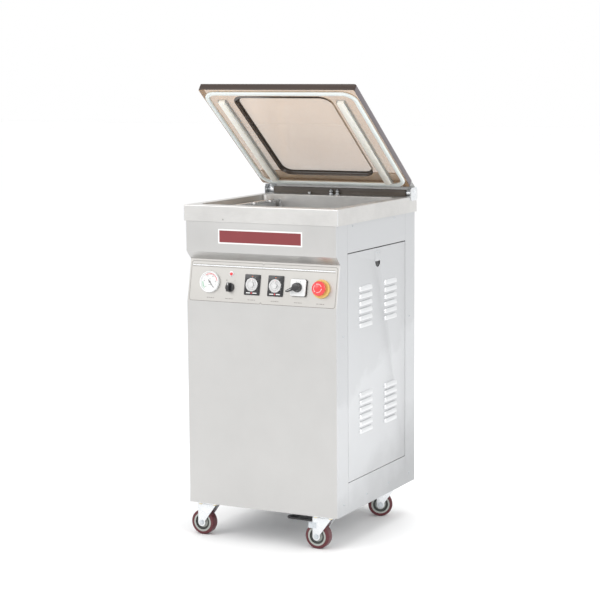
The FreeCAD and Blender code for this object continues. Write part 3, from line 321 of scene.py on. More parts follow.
# each finish: its maker, then its tone and the rest
recipes = {
    "frontSteel": (brushedSteel, (0.56, 0.555, 0.545), (900, 900, 9), 0.42, 0.03),
    "panelSteel": (brushedSteel, (0.5, 0.487, 0.465), (9, 900, 900), 0.38, 0.03),
    # side steel: its tone carries painted shade, darker low down and towards the back
    "sideSteel": (foldedSide, (0.642, 0.652, 0.664)),
    # the brow: a darker copy of the front steel, painted shade on the downward slope
    "browSteel": (brushedSteel, (0.545, 0.538, 0.527), (38, 3, 3), 0.4, 0.05),
    "rimSteel": (brushedSteel, (0.655, 0.647, 0.632), (40, 40, 500), 0.38, 0.09),
    "zinc": (zincPlate,),
    "brightZinc": (zincPlate, (0.82, 0.84, 0.86), 0.25),
    "darkBronze": (moulded, (0.075, 0.062, 0.05), 0.3, 300, 0.00004, 0.2),
    "lidClear": (tintedClear, (0.66, 0.42, 0.22), 0.4),
    "lidThin": (tintedClear, (0.78, 0.58, 0.4), 0.36),
    "lidFrontEdge": (sawnEdge, (0.035, 0.016, 0.008), 0.45, (4, 300, 300), 0.0),
    # the lid's side edges: a lighter copy of the sawn edge, painted reflection
    "lidSideEdge": (sawnEdge, (0.15, 0.13, 0.14), 0.45, (300, 6, 300), 0.1),
    # the pocket's walls: dark and nearly opaque, painted shade for the dark refraction in the clear acrylic
    "pocketWall": (sawnEdge, (0.035, 0.02, 0.01), 0.16, (30, 30, 200)),
    "gasket": (softSilicone, (0.78, 0.83, 0.82)),
    "pressStrip": (softSilicone, (0.9, 0.885, 0.82)),
    "aluminium": (brushedSteel, (0.72, 0.73, 0.74), (300, 14, 300), 0.35, 0.05),
    "blackPlastic": (moulded, (0.022, 0.022, 0.024), 0.4),
    "glossBlack": (moulded, (0.018, 0.018, 0.02), 0.25, 900, 0.00002, 0.4),
    "whitePlastic": (moulded, (0.86, 0.87, 0.87), 0.35, 900, 0.00002, 0.2),
    "dialSilver": (brushedSteel, (0.6, 0.6, 0.6), (500, 500, 500), 0.4, 0.03),
    "redPlastic": (moulded, (0.83, 0.045, 0.05), 0.28, 900, 0.00002, 0.5),
    "amberRing": (moulded, (0.78, 0.52, 0.16), 0.4),
    "orangePlastic": (moulded, (0.85, 0.22, 0.1), 0.4),
    "redPaint": (moulded, (0.8, 0.08, 0.1), 0.45),
    "greenPaint": (moulded, (0.1, 0.55, 0.25), 0.45),
    "darkInk": (moulded, (0.07, 0.06, 0.06), 0.5),
    "greyInk": (moulded, (0.17, 0.155, 0.145), 0.5),
    "whiteInk": (moulded, (0.88, 0.88, 0.87), 0.5),
    "burgundy": (moulded, (0.23, 0.03, 0.035), 0.4, 500, 0.00002, 0.2),
    "urethane": (moulded, (0.105, 0.012, 0.018), 0.35, 500, 0.00005, 0.15),
    "hubGrey": (moulded, (0.42, 0.44, 0.41), 0.45),
    "hubDark": (moulded, (0.06, 0.065, 0.06), 0.5),
    "castGrey": (castSkin, (0.24, 0.29, 0.33)),
    "rubber": (moulded, (0.02, 0.02, 0.02), 0.6, 500, 0.0001),
    "brass": (brushedSteel, (0.72, 0.55, 0.25), (200, 200, 200), 0.3, 0.06),
    "tape": (wovenTape, (0.66, 0.5, 0.33)),
    "glass": (clearGlass,),
    "seamShade": (moulded, (0.42, 0.43, 0.44), 0.5),
    # the louvre pods: a lighter copy of the side steel, painted highlight
    "podSteel": (brushedSteel, (0.78, 0.79, 0.8), (900, 9, 900), 0.36, 0.03),
    "channelGrey": (brushedSteel, (0.5, 0.52, 0.52), (300, 14, 300), 0.4, 0.05),
    # the hinge beam: dark brown, partly the beam's dark paint and partly painted shade under the lid
    "beamBronze": (moulded, (0.1, 0.08, 0.062), 0.34, 300, 0.00004, 0.2),
    "paleInk": (moulded, (0.27, 0.25, 0.235), 0.5),
    "paleRed": (moulded, (0.9, 0.5, 0.5), 0.4),
    "nutBrass": (zincPlate, (0.74, 0.66, 0.45)),
    "floor": (studioFloor,),
}
finish = {name: recipe[0](name, *recipe[1:]) for name, recipe in recipes.items()}


# mesh helpers: every piece is modelled in mm in a frame of its own, and a place matrix brings it to the CAD's frame

def placed(origin, across, along, outward):
    turn = Matrix((across, along, outward)).transposed().to_4x4()
    return Matrix.Translation(origin) @ turn @ Matrix.Scale(mm, 4)


def at(place, point, axis=(0, 0, 1)):
    turn = Vector((0, 0, 1)).rotation_difference(Vector(axis)).to_matrix().to_4x4()
    return place @ Matrix.Translation(point) @ turn


def localBox(node, place):
    back = place.inverted()
    points = [back @ vertex.co for vertex in frame["nodes"][node].data.vertices]
    lo = Vector([min(point[k] for point in points) for k in range(3)])
    hi = Vector([max(point[k] for point in points) for k in range(3)])
    return lo, hi


def makeObject(name, bm, names, cornerAngle=32):
    bmesh.ops.remove_doubles(bm, verts=bm.verts, dist=1e-6)
    bmesh.ops.recalc_face_normals(bm, faces=bm.faces)
    mesh = bpy.data.meshes.new(name)
    bm.to_mesh(mesh)
    bm.free()
    for key in names:
        mesh.materials.append(finish[key])
    mesh.shade_smooth()
    mesh.set_sharp_from_angle(angle=math.radians(cornerAngle))
    piece = bpy.data.objects.new(name, mesh)
    bpy.context.scene.collection.objects.link(piece)
    return piece


def settle(piece):
    depsgraph = bpy.context.evaluated_depsgraph_get()
    mesh = bpy.data.meshes.new_from_object(piece.evaluated_get(depsgraph))
    piece.modifiers.clear()
    piece.data = mesh
    return piece


def soften(piece, width, segments=2, angle=30):
    bevel = piece.modifiers.new("bevel", "BEVEL")
    bevel.width = width * mm
    bevel.segments = segments
    bevel.limit_method = "ANGLE"
    bevel.angle_limit = math.radians(angle)
    settle(piece)
    piece.data.shade_smooth()
    piece.data.set_sharp_from_angle(angle=math.radians(angle + 8))
    return piece


def fit(piece, body, slot, *nodes):
    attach(piece, body)
    if nodes:
        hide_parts(*nodes)
    return piece


def show(name, bm, names, body, slot, *nodes):
    return fit(makeObject(name, bm, names), body, slot, *nodes)


def addFace(bm, corners, material=0):
    face = bm.faces.new(corners)
    face.material_index = material
    return face


def addBox(bm, lo, hi, place, material=0):
    points = [bm.verts.new(place @ Vector((x, y, z))) for z in (lo[2], hi[2]) for y in (lo[1], hi[1])
              for x in (lo[0], hi[0])]
    for order in ((0, 2, 3, 1), (4, 5, 7, 6), (0, 1, 5, 4), (2, 6, 7, 3), (0, 4, 6, 2), (1, 3, 7, 5)):
        addFace(bm, [points[k] for k in order], material)


def addLathe(bm, profile, place, segments=48, closed=False):
    # (radius, height) points turned about Z: a third value is the material up to the next point
    rings = []
    turns = [2 * math.pi * k / segments for k in range(segments)]
    for radius, height, *tone in profile:
        if radius < 1e-6:
            rings.append([bm.verts.new(place @ Vector((0, 0, height)))])
            continue
        rings.append([bm.verts.new(place @ Vector((radius * math.cos(t), radius * math.sin(t), height)))
                      for t in turns])
    tones = [row[2] if len(row) > 2 else 0 for row in profile]
    pairs = list(zip(rings, rings[1:], tones))
    if closed:
        pairs.append((rings[-1], rings[0], tones[-1]))
    for below, above, tone in pairs:
        for k in range(segments):
            m = (k + 1) % segments
            if len(below) == 1:
                addFace(bm, [below[0], above[m], above[k]], tone)
            elif len(above) == 1:
                addFace(bm, [below[k], below[m], above[0]], tone)
            else:
                addFace(bm, [below[k], below[m], above[m], above[k]], tone)


def addPin(bm, radius, low, high, place, segments=28, material=0):
    profile = [(0, low, material), (radius, low, material), (radius, high, material), (0, high)]
    addLathe(bm, profile, place, segments)


def addPrism(bm, outline, low, high, place, material=0):
    bottom = [bm.verts.new(place @ Vector((x, y, low))) for x, y in outline]
    top = [bm.verts.new(place @ Vector((x, y, high))) for x, y in outline]
    addFace(bm, bottom[::-1], material)
    addFace(bm, top, material)
    for k in range(len(outline)):
        m = (k + 1) % len(outline)
        addFace(bm, [bottom[k], bottom[m], top[m], top[k]], material)


def addLoft(bm, loops, place, materials, closed=True):
    rings = [[bm.verts.new(place @ Vector(point)) for point in loop] for loop in loops]
    count = len(rings[0])
    for below, above, material in zip(rings, rings[1:], materials):
        for k in range(count):
            m = (k + 1) % count
            addFace(bm, [below[k], below[m], above[m], above[k]], material)
    if closed:
        addFace(bm, rings[0][::-1], materials[0])
        addFace(bm, rings[-1], materials[-1])


def addTrack(bm, path, section, place, material=0, closed=True):
    # a section of (offset, height) points carried along a flat path with mitred corners
    count = len(path)
    rings = []
    for k, (x, y) in enumerate(path):
        before = Vector(path[k - 1]) if closed or k else Vector(path[k])
        after = Vector(path[(k + 1) % count]) if closed or k < count - 1 else Vector(path[k])
        here = Vector((x, y))
        into = (here - before).normalized() if (here - before).length else (after - here).normalized()
        out = (after - here).normalized() if (after - here).length else into
        middle = (into + out).normalized()
        side = Vector((middle.y, -middle.x)) / max(0.3, middle.dot(into))
        rings.append([bm.verts.new(place @ Vector((x + side.x * a, y + side.y * a, h))) for a, h in section])
    steps = list(zip(rings, rings[1:]))
    if closed:
        steps.append((rings[-1], rings[0]))
    for below, above in steps:
        for k in range(len(section)):
            m = (k + 1) % len(section)
            addFace(bm, [below[k], below[m], above[m], above[k]], material)
    if not closed:
        addFace(bm, rings[0][::-1], material)
        addFace(bm, rings[-1], material)


def addTube(bm, points, radius, place, sides=16, material=0):
    # a round tube along points in space, its frame carried from point to point
    rings = []
    normal = None
    for k, point in enumerate(points):
        here = Vector(point)
        before = Vector(points[max(k - 1, 0)])
        after = Vector(points[min(k + 1, len(points) - 1)])
        tangent = (after - before).normalized()
        if normal is None:
            normal = tangent.orthogonal().normalized()
        normal = (normal - tangent * normal.dot(tangent)).normalized()
        other = tangent.cross(normal)
        turns = [2 * math.pi * m / sides for m in range(sides)]
        rings.append([bm.verts.new(place @ (here + (normal * math.cos(t) + other * math.sin(t)) * radius))
                      for t in turns])
    for below, above in zip(rings, rings[1:]):
        for k in range(sides):
            m = (k + 1) % sides
            addFace(bm, [below[k], below[m], above[m], above[k]], material)
    addFace(bm, rings[0][::-1], material)
    addFace(bm, rings[-1], material)


def arc(centre, radius, start, end, count):
    turns = [math.radians(start + (end - start) * k / count) for k in range(count + 1)]
    return [(centre[0] + radius * math.cos(t), centre[1] + radius * math.sin(t)) for t in turns]


def roundedLoop(x0, x1, y0, y1, radius, count=8):
    points = []
    for cx, cy, start in ((x1 - radius, y0 + radius, -90), (x1 - radius, y1 - radius, 0),
                          (x0 + radius, y1 - radius, 90), (x0 + radius, y0 + radius, 180)):
        points += arc((cx, cy), radius, start, start + 90, count)
    return points


def roundedPlate(bm, x0, x1, y0, y1, low, high, radius, edge, place, material=0, count=8):
    # a plate with rounded corners and a rounded upper edge
    loops = [[(x, y, low) for x, y in roundedLoop(x0, x1, y0, y1, radius, count)]]
    for step in range(4):
        turn = math.radians(30 * step)
        inset = edge * (1 - math.cos(turn))
        height = high - edge + edge * math.sin(turn)
        loops.append([(x, y, height) for x, y in
                      roundedLoop(x0 + inset, x1 - inset, y0 + inset, y1 - inset, max(radius - inset, 0.05), count)])
    addLoft(bm, loops, place, [material] * len(loops))


def hexOutline(halfAcross):
    return arc((0, 0), halfAcross * 2 / math.sqrt(3), 0, 300, 5)


def addNut(bm, halfAcross, low, high, bore, place, material=0):
    cut = halfAcross * 0.12
    loops = []
    for height, inset in ((low, cut), (low + cut, 0), (high - cut, 0), (high, cut)):
        loops.append([(x, y, height) for x, y in hexOutline(halfAcross - inset)])
    addLoft(bm, loops, place, [material] * 3)
    addLathe(bm, [(bore, high, material), (bore, high + cut, material), (0, high + cut, material)], place, 20)


def cadCopy(name, node, names, width, segments=2):
    # the CAD node's own shape with its edges softened
    bm = bmesh.new()
    bm.from_mesh(frame["nodes"][node].data)
    bmesh.ops.remove_doubles(bm, verts=bm.verts, dist=1e-6)
    bmesh.ops.dissolve_limit(bm, angle_limit=math.radians(1), verts=bm.verts, edges=bm.edges)
    for face in bm.faces:
        face.material_index = 0
    piece = makeObject(name, bm, names)
    return soften(piece, width, segments, 35)


# geometry nodes for what repeats

class GeoTree:
    def __init__(self, name, inputs):
        self.group = bpy.data.node_groups.new(name, "GeometryNodeTree")
        self.keys = {}
        face = self.group.interface
        face.new_socket("Geometry", in_out="INPUT", socket_type="NodeSocketGeometry")
        for key, kind in inputs.items():
            self.keys[key] = face.new_socket(key, in_out="INPUT", socket_type="NodeSocket" + kind).identifier
        face.new_socket("Geometry", in_out="OUTPUT", socket_type="NodeSocketGeometry")
        self.source = self.group.nodes.new("NodeGroupInput")
        self.target = self.group.nodes.new("NodeGroupOutput")

    def given(self, key):
        return self.source.outputs[key]

    def add(self, kind, settings, values, out=0):
        node = self.group.nodes.new(kind)
        for key, value in settings.items():
            setattr(node, key, value)
        for key, value in values.items():
            if isinstance(value, bpy.types.NodeSocket):
                self.group.links.new(value, node.inputs[key])
            else:
                node.inputs[key].default_value = value
        return node.outputs[out]

    def finish(self, geometry):
        solid = self.add("GeometryNodeRealizeInstances", {}, {0: geometry})
        shown = self.add("GeometryNodeSetMaterial", {}, {"Geometry": solid, "Material": self.given("Material")})
        self.group.links.new(shown, self.target.inputs[0])
        return self


def rowTree():
    # rows and columns of one piece
    tree = GeoTree("rowsOfPieces", {"Piece": "Object", "Count": "Int", "Step": "Vector", "Rows": "Int",
                                    "Row Step": "Vector", "Start": "Vector", "Material": "Material"})
    row = tree.add("GeometryNodeMeshLine", {}, {"Count": tree.given("Count"), "Start Location": tree.given("Start"),
                                                "Offset": tree.given("Step")})
    rows = tree.add("GeometryNodeMeshLine", {}, {"Count": tree.given("Rows"), "Offset": tree.given("Row Step")})
    grid = tree.add("GeometryNodeInstanceOnPoints", {}, {"Points": rows, "Instance": row})
    points = tree.add("GeometryNodeRealizeInstances", {}, {0: grid})
    piece = tree.add("GeometryNodeObjectInfo", {}, {"Object": tree.given("Piece")}, "Geometry")
    return tree.finish(tree.add("GeometryNodeInstanceOnPoints", {}, {"Points": points, "Instance": piece}))


def ringTree():
    # one piece at equal turns round the Z axis
    tree = GeoTree("ringOfPieces", {"Piece": "Object", "Count": "Int", "First": "Float", "Turn": "Float",
                                    "Material": "Material"})
    line = tree.add("GeometryNodeMeshLine", {}, {"Count": tree.given("Count"), "Offset": (0, 0, 0)})
    piece = tree.add("GeometryNodeObjectInfo", {}, {"Object": tree.given("Piece")}, "Geometry")
    index = tree.add("GeometryNodeInputIndex", {}, {})
    swing = tree.add("ShaderNodeMath", {"operation": "MULTIPLY_ADD"}, {0: index, 1: tree.given("Turn"),
                                                                       2: tree.given("First")})
    turn = tree.add("ShaderNodeCombineXYZ", {}, {"Z": swing})
    return tree.finish(tree.add("GeometryNodeInstanceOnPoints", {}, {"Points": line, "Instance": piece,
                                                                     "Rotation": turn}))


def coilTree():
    # a wound wire along the Z axis
    tree = GeoTree("woundWire", {"Radius": "Float", "Length": "Float", "Turns": "Float", "Wire": "Float",
                                 "Material": "Material"})
    path = tree.add("GeometryNodeCurveSpiral", {}, {"Resolution": 20, "Rotations": tree.given("Turns"),
                                                    "Start Radius": tree.given("Radius"),
                                                    "End Radius": tree.given("Radius"),
                                                    "Height": tree.given("Length")})
    wire = tree.add("GeometryNodeCurvePrimitiveCircle", {}, {"Resolution": 8, "Radius": tree.given("Wire")})
    return tree.finish(tree.add("GeometryNodeCurveToMesh", {}, {"Curve": path, "Profile Curve": wire,
                                                               "Fill Caps": True}))


def grow(name, tree, values, place, finishName, template=None):
    holder = bpy.data.objects.new(name, bpy.data.meshes.new(name))
    bpy.context.scene.collection.objects.link(holder)
    modifier = holder.modifiers.new("shape", "NODES")
    modifier.node_group = tree.group
    for key, value in {**values, "Material": finish[finishName]}.items():
        modifier[tree.keys[key]] = value
    if template:
        modifier[tree.keys["Piece"]] = template
    settle(holder)
    holder.data.transform(place)
    holder.data.shade_smooth()
    holder.data.set_sharp_from_angle(angle=math.radians(35))
    if template:
        bpy.data.objects.remove(template)
    return holder


def join(name, pieces):
    # several made pieces of one body as one mesh
    bm = bmesh.new()
    names = []
    for piece in pieces:
        shift = len(names)
        names += [material.name for material in piece.data.materials]
        start = len(bm.faces)
        bm.from_mesh(piece.data)
        bm.faces.ensure_lookup_table()
        for face in bm.faces[start:]:
            face.material_index += shift
        bpy.data.objects.remove(piece)
    return makeObject(name, bm, names)


rows = rowTree()
ring = ringTree()
coil = coilTree()
straight = Matrix.Identity(4)
world = Matrix.Scale(mm, 4)


def rowOf(name, template, count, step, start, tone, rowCount=1, rowStep=(0, 0, 0)):
    values = {"Count": count, "Step": step, "Rows": rowCount, "Row Step": rowStep, "Start": start}
    return grow(name, rows, values, straight, tone, template)


def ringOf(name, lo, hi, count, first, turn, place, tone):
    # small boxes at equal turns, in degrees
    bm = bmesh.new()
    addBox(bm, lo, hi, world)
    values = {"Count": count, "First": math.radians(first), "Turn": math.radians(turn)}
    return grow(name, ring, values, place @ Matrix.Scale(1 / mm, 4), tone, makeObject(name + "Shape", bm, [tone]))


# places and small helpers that read the frame

sideDoor = placed(Vector((middle("latch_plate").x - 0.001, 0, 0)), Vector((0, 1, 0)), Vector((0, 0, 1)), right)
pivot = Vector(joints["lid_hinge"]["pos_m"])
lidOpen = math.radians(joints["lid_hinge"]["range_deg"][1])
lidPlace = Matrix.Translation(pivot) @ Matrix.Rotation(-lidOpen, 4, "X") @ Matrix.Scale(mm, 4)
outOfPanel = -Vector(joints["stop_press"]["axis"]).normalized()
upPanel = outOfPanel.cross(right)
panelOrigin = Vector((0, low("control_panel").y, high("front_panel").z))
panelPlace = placed(panelOrigin, right, upPanel, outOfPanel)


def spotOf(node):
    lo, hi = localBox(node, panelPlace)
    return (lo + hi) / 2


def jointAt(name):
    return Vector(joints[name]["pos_m"]) / mm


def panelSpot(name):
    return panelPlace.inverted() @ Vector(joints[name]["pos_m"])


def controlPlace(spot):
    return panelPlace @ Matrix.Translation((spot.x, spot.y, 0))


def islands(node):
    # the two corners of each of a node's separate solids, in mm
    bm = bmesh.new()
    bm.from_mesh(frame["nodes"][node].data)
    bmesh.ops.remove_doubles(bm, verts=bm.verts, dist=1e-6)
    seen = set()
    found = []
    for seed in bm.verts:
        if seed in seen:
            continue
        stack = [seed]
        seen.add(seed)
        group = []
        while stack:
            vertex = stack.pop()
            group.append(vertex.co.copy())
            for edge in vertex.link_edges:
                other = edge.other_vert(vertex)
                if other not in seen:
                    seen.add(other)
                    stack.append(other)
        lo = Vector([min(point[k] for point in group) for k in range(3)]) / mm
        hi = Vector([max(point[k] for point in group) for k in range(3)]) / mm
        found.append((lo, hi))
    bm.free()
    return found


def solidsOf(node):
    # the middle of each separate solid's foot, and its size
    for lo, hi in islands(node):
        yield world @ Matrix.Translation(((lo.x + hi.x) / 2, (lo.y + hi.y) / 2, lo.z)), hi - lo


def carve(piece, cutter):
    cut = piece.modifiers.new("cut", "BOOLEAN")
    cut.operation = "DIFFERENCE"
    cut.solver = "EXACT"
    cut.object = cutter
    settle(piece)
    bpy.data.objects.remove(cutter)
    return piece


def addBar(bm, outline, y0, y1, place, taper=0.0):
    # an (x, z) outline carried along Y, narrowed by a share at each end
    loops = []
    for y, share in ((y0, 1 - taper), (y0 + 1, 1), (y1 - 1, 1), (y1, 1 - taper)):
        loops.append([(x * share, y, z) for x, z in outline])
    addLoft(bm, loops, place, [0] * 3)


def addRing(bm, box4, radius, section, place, materials, count=8):
    # a closed (offset, height) section carried round a rounded rectangle
    x0, x1, y0, y1 = box4
    loops = [[(x, y, height) for x, y in roundedLoop(x0 - extra, x1 + extra, y0 - extra, y1 + extra,
                                                     max(radius + extra, 0.05), count)]
             for extra, height in section + section[:1]]
    addLoft(bm, loops, place, materials, closed=False)


def addStrip(bm, points, width, low, high, place, material=0):
    # a thin flat strip along a path on a face
    half = width / 2
    addTrack(bm, points, [(-half, low), (half, low), (half, high), (-half, high)], place, material, closed=False)


def addScrew(bm, radius, height, place, material=0, slots=2):
    # a domed screw head with a cross or a single slot pressed in
    dome = [(radius, 0, material), (radius, height * 0.35, material), (radius * 0.86, height * 0.75, material),
            (radius * 0.55, height, material), (0, height, material)]
    addLathe(bm, dome, place, 20)
    for k in range(slots):
        turn = place @ Matrix.Rotation(math.radians(20 + 90 * k), 4, "Z")
        addBox(bm, (-radius * 0.62, -radius * 0.1, height * 0.6), (radius * 0.62, radius * 0.1, height * 1.03), turn,
               material + 1)


print("stage: camera and studio")
makeCamera(cameraSetup)
makeStudio(studio)
bm = bmesh.new()
half = studio["floorSize"] / 2
addBox(bm, (-half, -half, -0.02), (half, half, 0), straight)
makeObject("studioFloor", bm, ["floor"])

print("stage: cabinet")
painted = {
    "base_frame": "sideSteel", "front_panel": "frontSteel", "control_panel": "panelSteel", "chamber": "rimSteel",
    "side_panel_left": "sideSteel", "side_panel_right": "sideSteel", "hinge_shaft": "brightZinc",
    "vacuum_hose": "rubber",
}
for node, tone in painted.items():
    frame["nodes"][node].material_slots[0].material = finish[tone]

head = cadCopy("headPanelShown", "head_panel", ["frontSteel", "browSteel"], 0.25)
# faces turned downwards, the brow, take the darker steel: painted shade
for polygon in head.data.polygons:
    if polygon.normal.z < -0.3:
        polygon.material_index = 1  # the brow
fit(head, "cabinet", "panel_steel", "head_panel")

rearSizes = {"screwRadius": 3.2, "screwHeight": 1.4, "inset": 12, "rows": 5}
s = rearSizes
backPlace = placed(Vector((0, high("rear_cover").y, 0)), Vector((-1, 0, 0)), Vector((0, 0, 1)), Vector((0, 1, 0)))
bm = bmesh.new()
addScrew(bm, s["screwRadius"], s["screwHeight"], backPlace)
edgeX = high("rear_cover").x / mm - s["inset"]
base = low("rear_cover").z / mm + s["inset"]
step = (high("rear_cover").z / mm - s["inset"] - base) / (s["rows"] - 1)
fit(rowOf("rearCoverScrews", makeObject("rearScrewShape", bm, ["zinc", "darkInk"]), 2, (edgeX * 2 * mm, 0, 0),
          (-edgeX * mm, 0, base * mm), "zinc", s["rows"], (0, 0, step * mm)), "cabinet", "plated_steel")

fittingSizes = {"nut": 14.578, "nutHigh": 6.7, "neck": 9.0, "bore": 5.0, "out": 20}
s = fittingSizes
gland = [(s["bore"], s["nutHigh"]), (s["neck"] + 2, s["nutHigh"]), (s["neck"] + 2, s["out"] - 5),
         (s["neck"], s["out"] - 1), (s["bore"] + 1, s["out"]), (s["bore"], s["out"] - 1.5)]
glandNut = [(0, -8.5), (11, -8.5), (11, -1.6), (s["bore"], -1.6), (s["bore"], 2, 1), (0, 2, 1)]
stub = [(0, -9, 2), (9, -9, 2), (9, 0.01, 2), (11, 0.02, 2), (11, 2.6, 2), (10, 3, 2), (5, 3.2, 2), (5, 8, 2),
        (4.4, 8.6, 2), (5, 9.2, 2), (4.4, 14, 2), (5, 14.6, 2), (4.4, 20, 2), (4.9, 20.6, 2), (4.2, 22.8, 2),
        (3, 23, 2), (3, 12, 1), (0, 12, 1)]
bm = bmesh.new()
for lo, hi in islands("rear_fittings"):
    spot = at(world, ((lo.x + hi.x) / 2, high("rear_cover").y / mm, (lo.z + hi.z) / 2), (0, 1, 0))
    if lo.x > 0:
        addNut(bm, s["nut"], 0, s["nutHigh"], s["neck"], spot)
        addLathe(bm, gland, spot, 32, True)
        addLathe(bm, glandNut, spot, 32)
    else:
        addLathe(bm, stub, spot, 32)
show("rearFittingsShown", bm, ["blackPlastic", "darkInk", "brass"], "cabinet", "black_plastic", "rear_fittings")

plateSizes = {"border": 4.0, "edge": 0.3, "groove": 0.15, "radius": 1.0}
s = plateSizes
lo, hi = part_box("nameplate")
frontPlace = placed(Vector((0, hi.y, 0)), right, Vector((0, 0, 1)), Vector((0, -1, 0)))
thick = (hi.y - lo.y) / mm
loops = []
for inset, height in ((0, 0.02), (0, thick - s["edge"]), (s["edge"], thick), (s["border"], thick),
                      (s["border"] + 0.1, thick - s["groove"])):
    outline = roundedLoop(lo.x / mm + inset, hi.x / mm - inset, lo.z / mm + inset, hi.z / mm - inset, s["radius"], 4)
    loops.append([(x, y, height) for x, y in outline])
bm = bmesh.new()
addLoft(bm, loops, frontPlace, [0, 0, 0, 0])
bm.faces.ensure_lookup_table()
bm.faces[-1].material_index = 1
show("nameplateFace", bm, ["whiteInk", "burgundy"], "cabinet", "burgundy", "nameplate")

beadSizes = {"radius": 0.9, "count": 34, "wobble": 0.03, "low": 943, "high": 982, "inset": 0.95}
s = beadSizes
lo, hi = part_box("chamber")
for name, side in (("Left", -1), ("Right", 1)):
    points = []
    for k in range(s["count"]):
        sway = s["wobble"] * math.sin(k * 1.9)
        points.append((side * (hi.x / mm - s["inset"] + sway), lo.y / mm + s["inset"] + sway,
                       s["low"] + (s["high"] - s["low"]) * k / (s["count"] - 1)))
    bm = bmesh.new()
    addTube(bm, points, s["radius"], world, 10)
    show("skirtWeld" + name, bm, ["brightZinc"], "cabinet", "rim_steel")

screwSizes = {"radius": 3.0, "height": 1.6}
for name, side, replaced in (("Left", -1, []), ("Right", 1, ["panel_screws"])):
    bm = bmesh.new()
    for lo, hi in islands("panel_screws"):
        if (lo.x + hi.x) * side > 0:
            face = lo.x if side > 0 else hi.x
            spot = at(world, (face, (lo.y + hi.y) / 2, (lo.z + hi.z) / 2), (side, 0, 0))
            addScrew(bm, screwSizes["radius"], screwSizes["height"], spot)
    show("panelScrews" + name, bm, ["zinc", "darkInk"], "cabinet", "plated_steel", *replaced)

seamSizes = {"width": 0.7, "height": 0.12, "inset": 1.2, "low": 122, "high": 940}
s = seamSizes
lo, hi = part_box("service_door")
bm = bmesh.new()
for y in (lo.y / mm + s["inset"], hi.y / mm - s["inset"]):
    for z0, z1 in ((s["low"], lo.z / mm - 4), (hi.z / mm + 5, s["high"])):
        addStrip(bm, [(y, z0), (y, z1)], s["width"], -0.02, s["height"], sideDoor)
show("sideSeams", bm, ["seamShade"], "cabinet", "panel_steel")

print("stage: service door")
doorSizes = {"near": -202, "far": 200, "sheet": 1.5, "edge": 0.5, "flange": 10, "flangeUp": 40, "slotHalf": 14,
             "hole": 17.5, "holeUp": 3, "lugHalf": 5, "lugHigh": 18, "pin": 2}
s = doorSizes
faceX = low("latch_plate").x / mm
near, far, wall = s["near"], s["far"], s["sheet"]
foot, top = low("service_door").z / mm, high("service_door").z / mm
latchLo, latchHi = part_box("latch_plate")
latchY = (latchLo.y + latchHi.y) / 2 / mm
latchZ = latchLo.z / mm
doorPlace = placed(Vector((faceX * mm, 0, 0)), Vector((0, 1, 0)), Vector((0, 0, 1)), right)
bm = bmesh.new()
addBox(bm, (faceX - wall, near, foot), (faceX, far, top), world)
sheetPiece = makeObject("doorSheet", bm, ["sideSteel", "darkInk"])
fingerHole = arc((latchY, latchZ), s["hole"], 180, 360, 18)
fingerHole += [(latchY + s["hole"], latchZ + s["holeUp"]), (latchY - s["hole"], latchZ + s["holeUp"])]
bm = bmesh.new()
addPrism(bm, fingerHole, -6, 3, doorPlace)
sheetPiece = soften(carve(sheetPiece, makeObject("holeShape", bm, ["sideSteel"])), s["edge"], 2, 40)
inner = faceX - wall
back = inner - s["flange"]
hingeAt = jointAt("door_tilt")
bm = bmesh.new()
for y in (near, far - wall):
    addBox(bm, (back, y, foot + s["flangeUp"]), (inner, y + wall, top), world)
addBox(bm, (back, near, top - wall), (inner, latchY - s["slotHalf"], top), world)
addBox(bm, (back, latchY + s["slotHalf"], top - wall), (inner, far, top), world)
for y, outward in ((near, -1), (far, 1)):
    a, b = sorted((y, y - outward * wall))
    addBox(bm, (hingeAt.x - s["lugHalf"], a, foot), (inner, b, foot + s["lugHigh"]), world)
    addLathe(bm, [(s["pin"], 0), (s["pin"], 2.6), (1.7, 2.9), (0, 2.9)],
             at(world, (hingeAt.x, y, hingeAt.z), (0, outward, 0)), 24)
flanges = soften(makeObject("doorFlanges", bm, ["sideSteel"]), 0.3)

louvreSizes = {"length": 87.0, "height": 14.0, "proud": 5.5, "pitch": 21.3, "perGroup": 6, "skin": 1.2, "slices": 40,
               "columns": (-83.5, 91.0), "upperDrop": 115, "lowerUp": 236.5}


def louvreShape(s):
    # a pressed louvre: a hood section that shrinks towards its two rounded ends
    half = s["length"] / 2
    r = s["height"] * 0.62
    quarter = [math.radians(turn) for turn in range(0, 91, 10)]
    loops = []
    for k in range(s["slices"] + 1):
        y = -half * math.cos(math.pi * k / s["slices"])
        share = math.sqrt(max(0.0, 1 - (max(0.0, r - half + abs(y)) / r) ** 2))
        p = s["proud"] * max(share, 0.05)
        h = s["height"] * (0.35 + 0.65 * share)
        skin = min(s["skin"], p * 0.5)
        section = [(-0.3, h)] + [(p * math.sin(t), h * 0.3 + h * 0.7 * math.cos(t)) for t in quarter]
        section += [(p, h * 0.12), (p - skin * 0.4, 0), (p - skin, 0.3), (p - skin, h * 0.3), (-0.3, h * 0.34)]
        loops.append([(x, y, z) for x, z in section])
    bm = bmesh.new()
    addLoft(bm, loops, world @ Matrix.Translation((faceX, 0, 0)), [0] * s["slices"])
    return makeObject("louvreShape", bm, ["sideSteel"])


s = louvreSizes
first, last = s["columns"]
pods = []
# the louvres take a lighter copy of the side steel: painted highlight on the pressed pods
for count, lip in enumerate((top - s["upperDrop"], foot + s["lowerUp"])):
    start = (0, ((near + far) / 2 + first) * mm, (lip - (s["perGroup"] - 1) * s["pitch"]) * mm)
    pods.append(rowOf("louvres%d" % count, louvreShape(s), s["perGroup"], (0, 0, s["pitch"] * mm), start, "podSteel",
                      2, (0, (last - first) * mm, 0)))
fit(join("serviceDoorShown", [sheetPiece, flanges] + pods), "door", "panel_steel", "service_door")

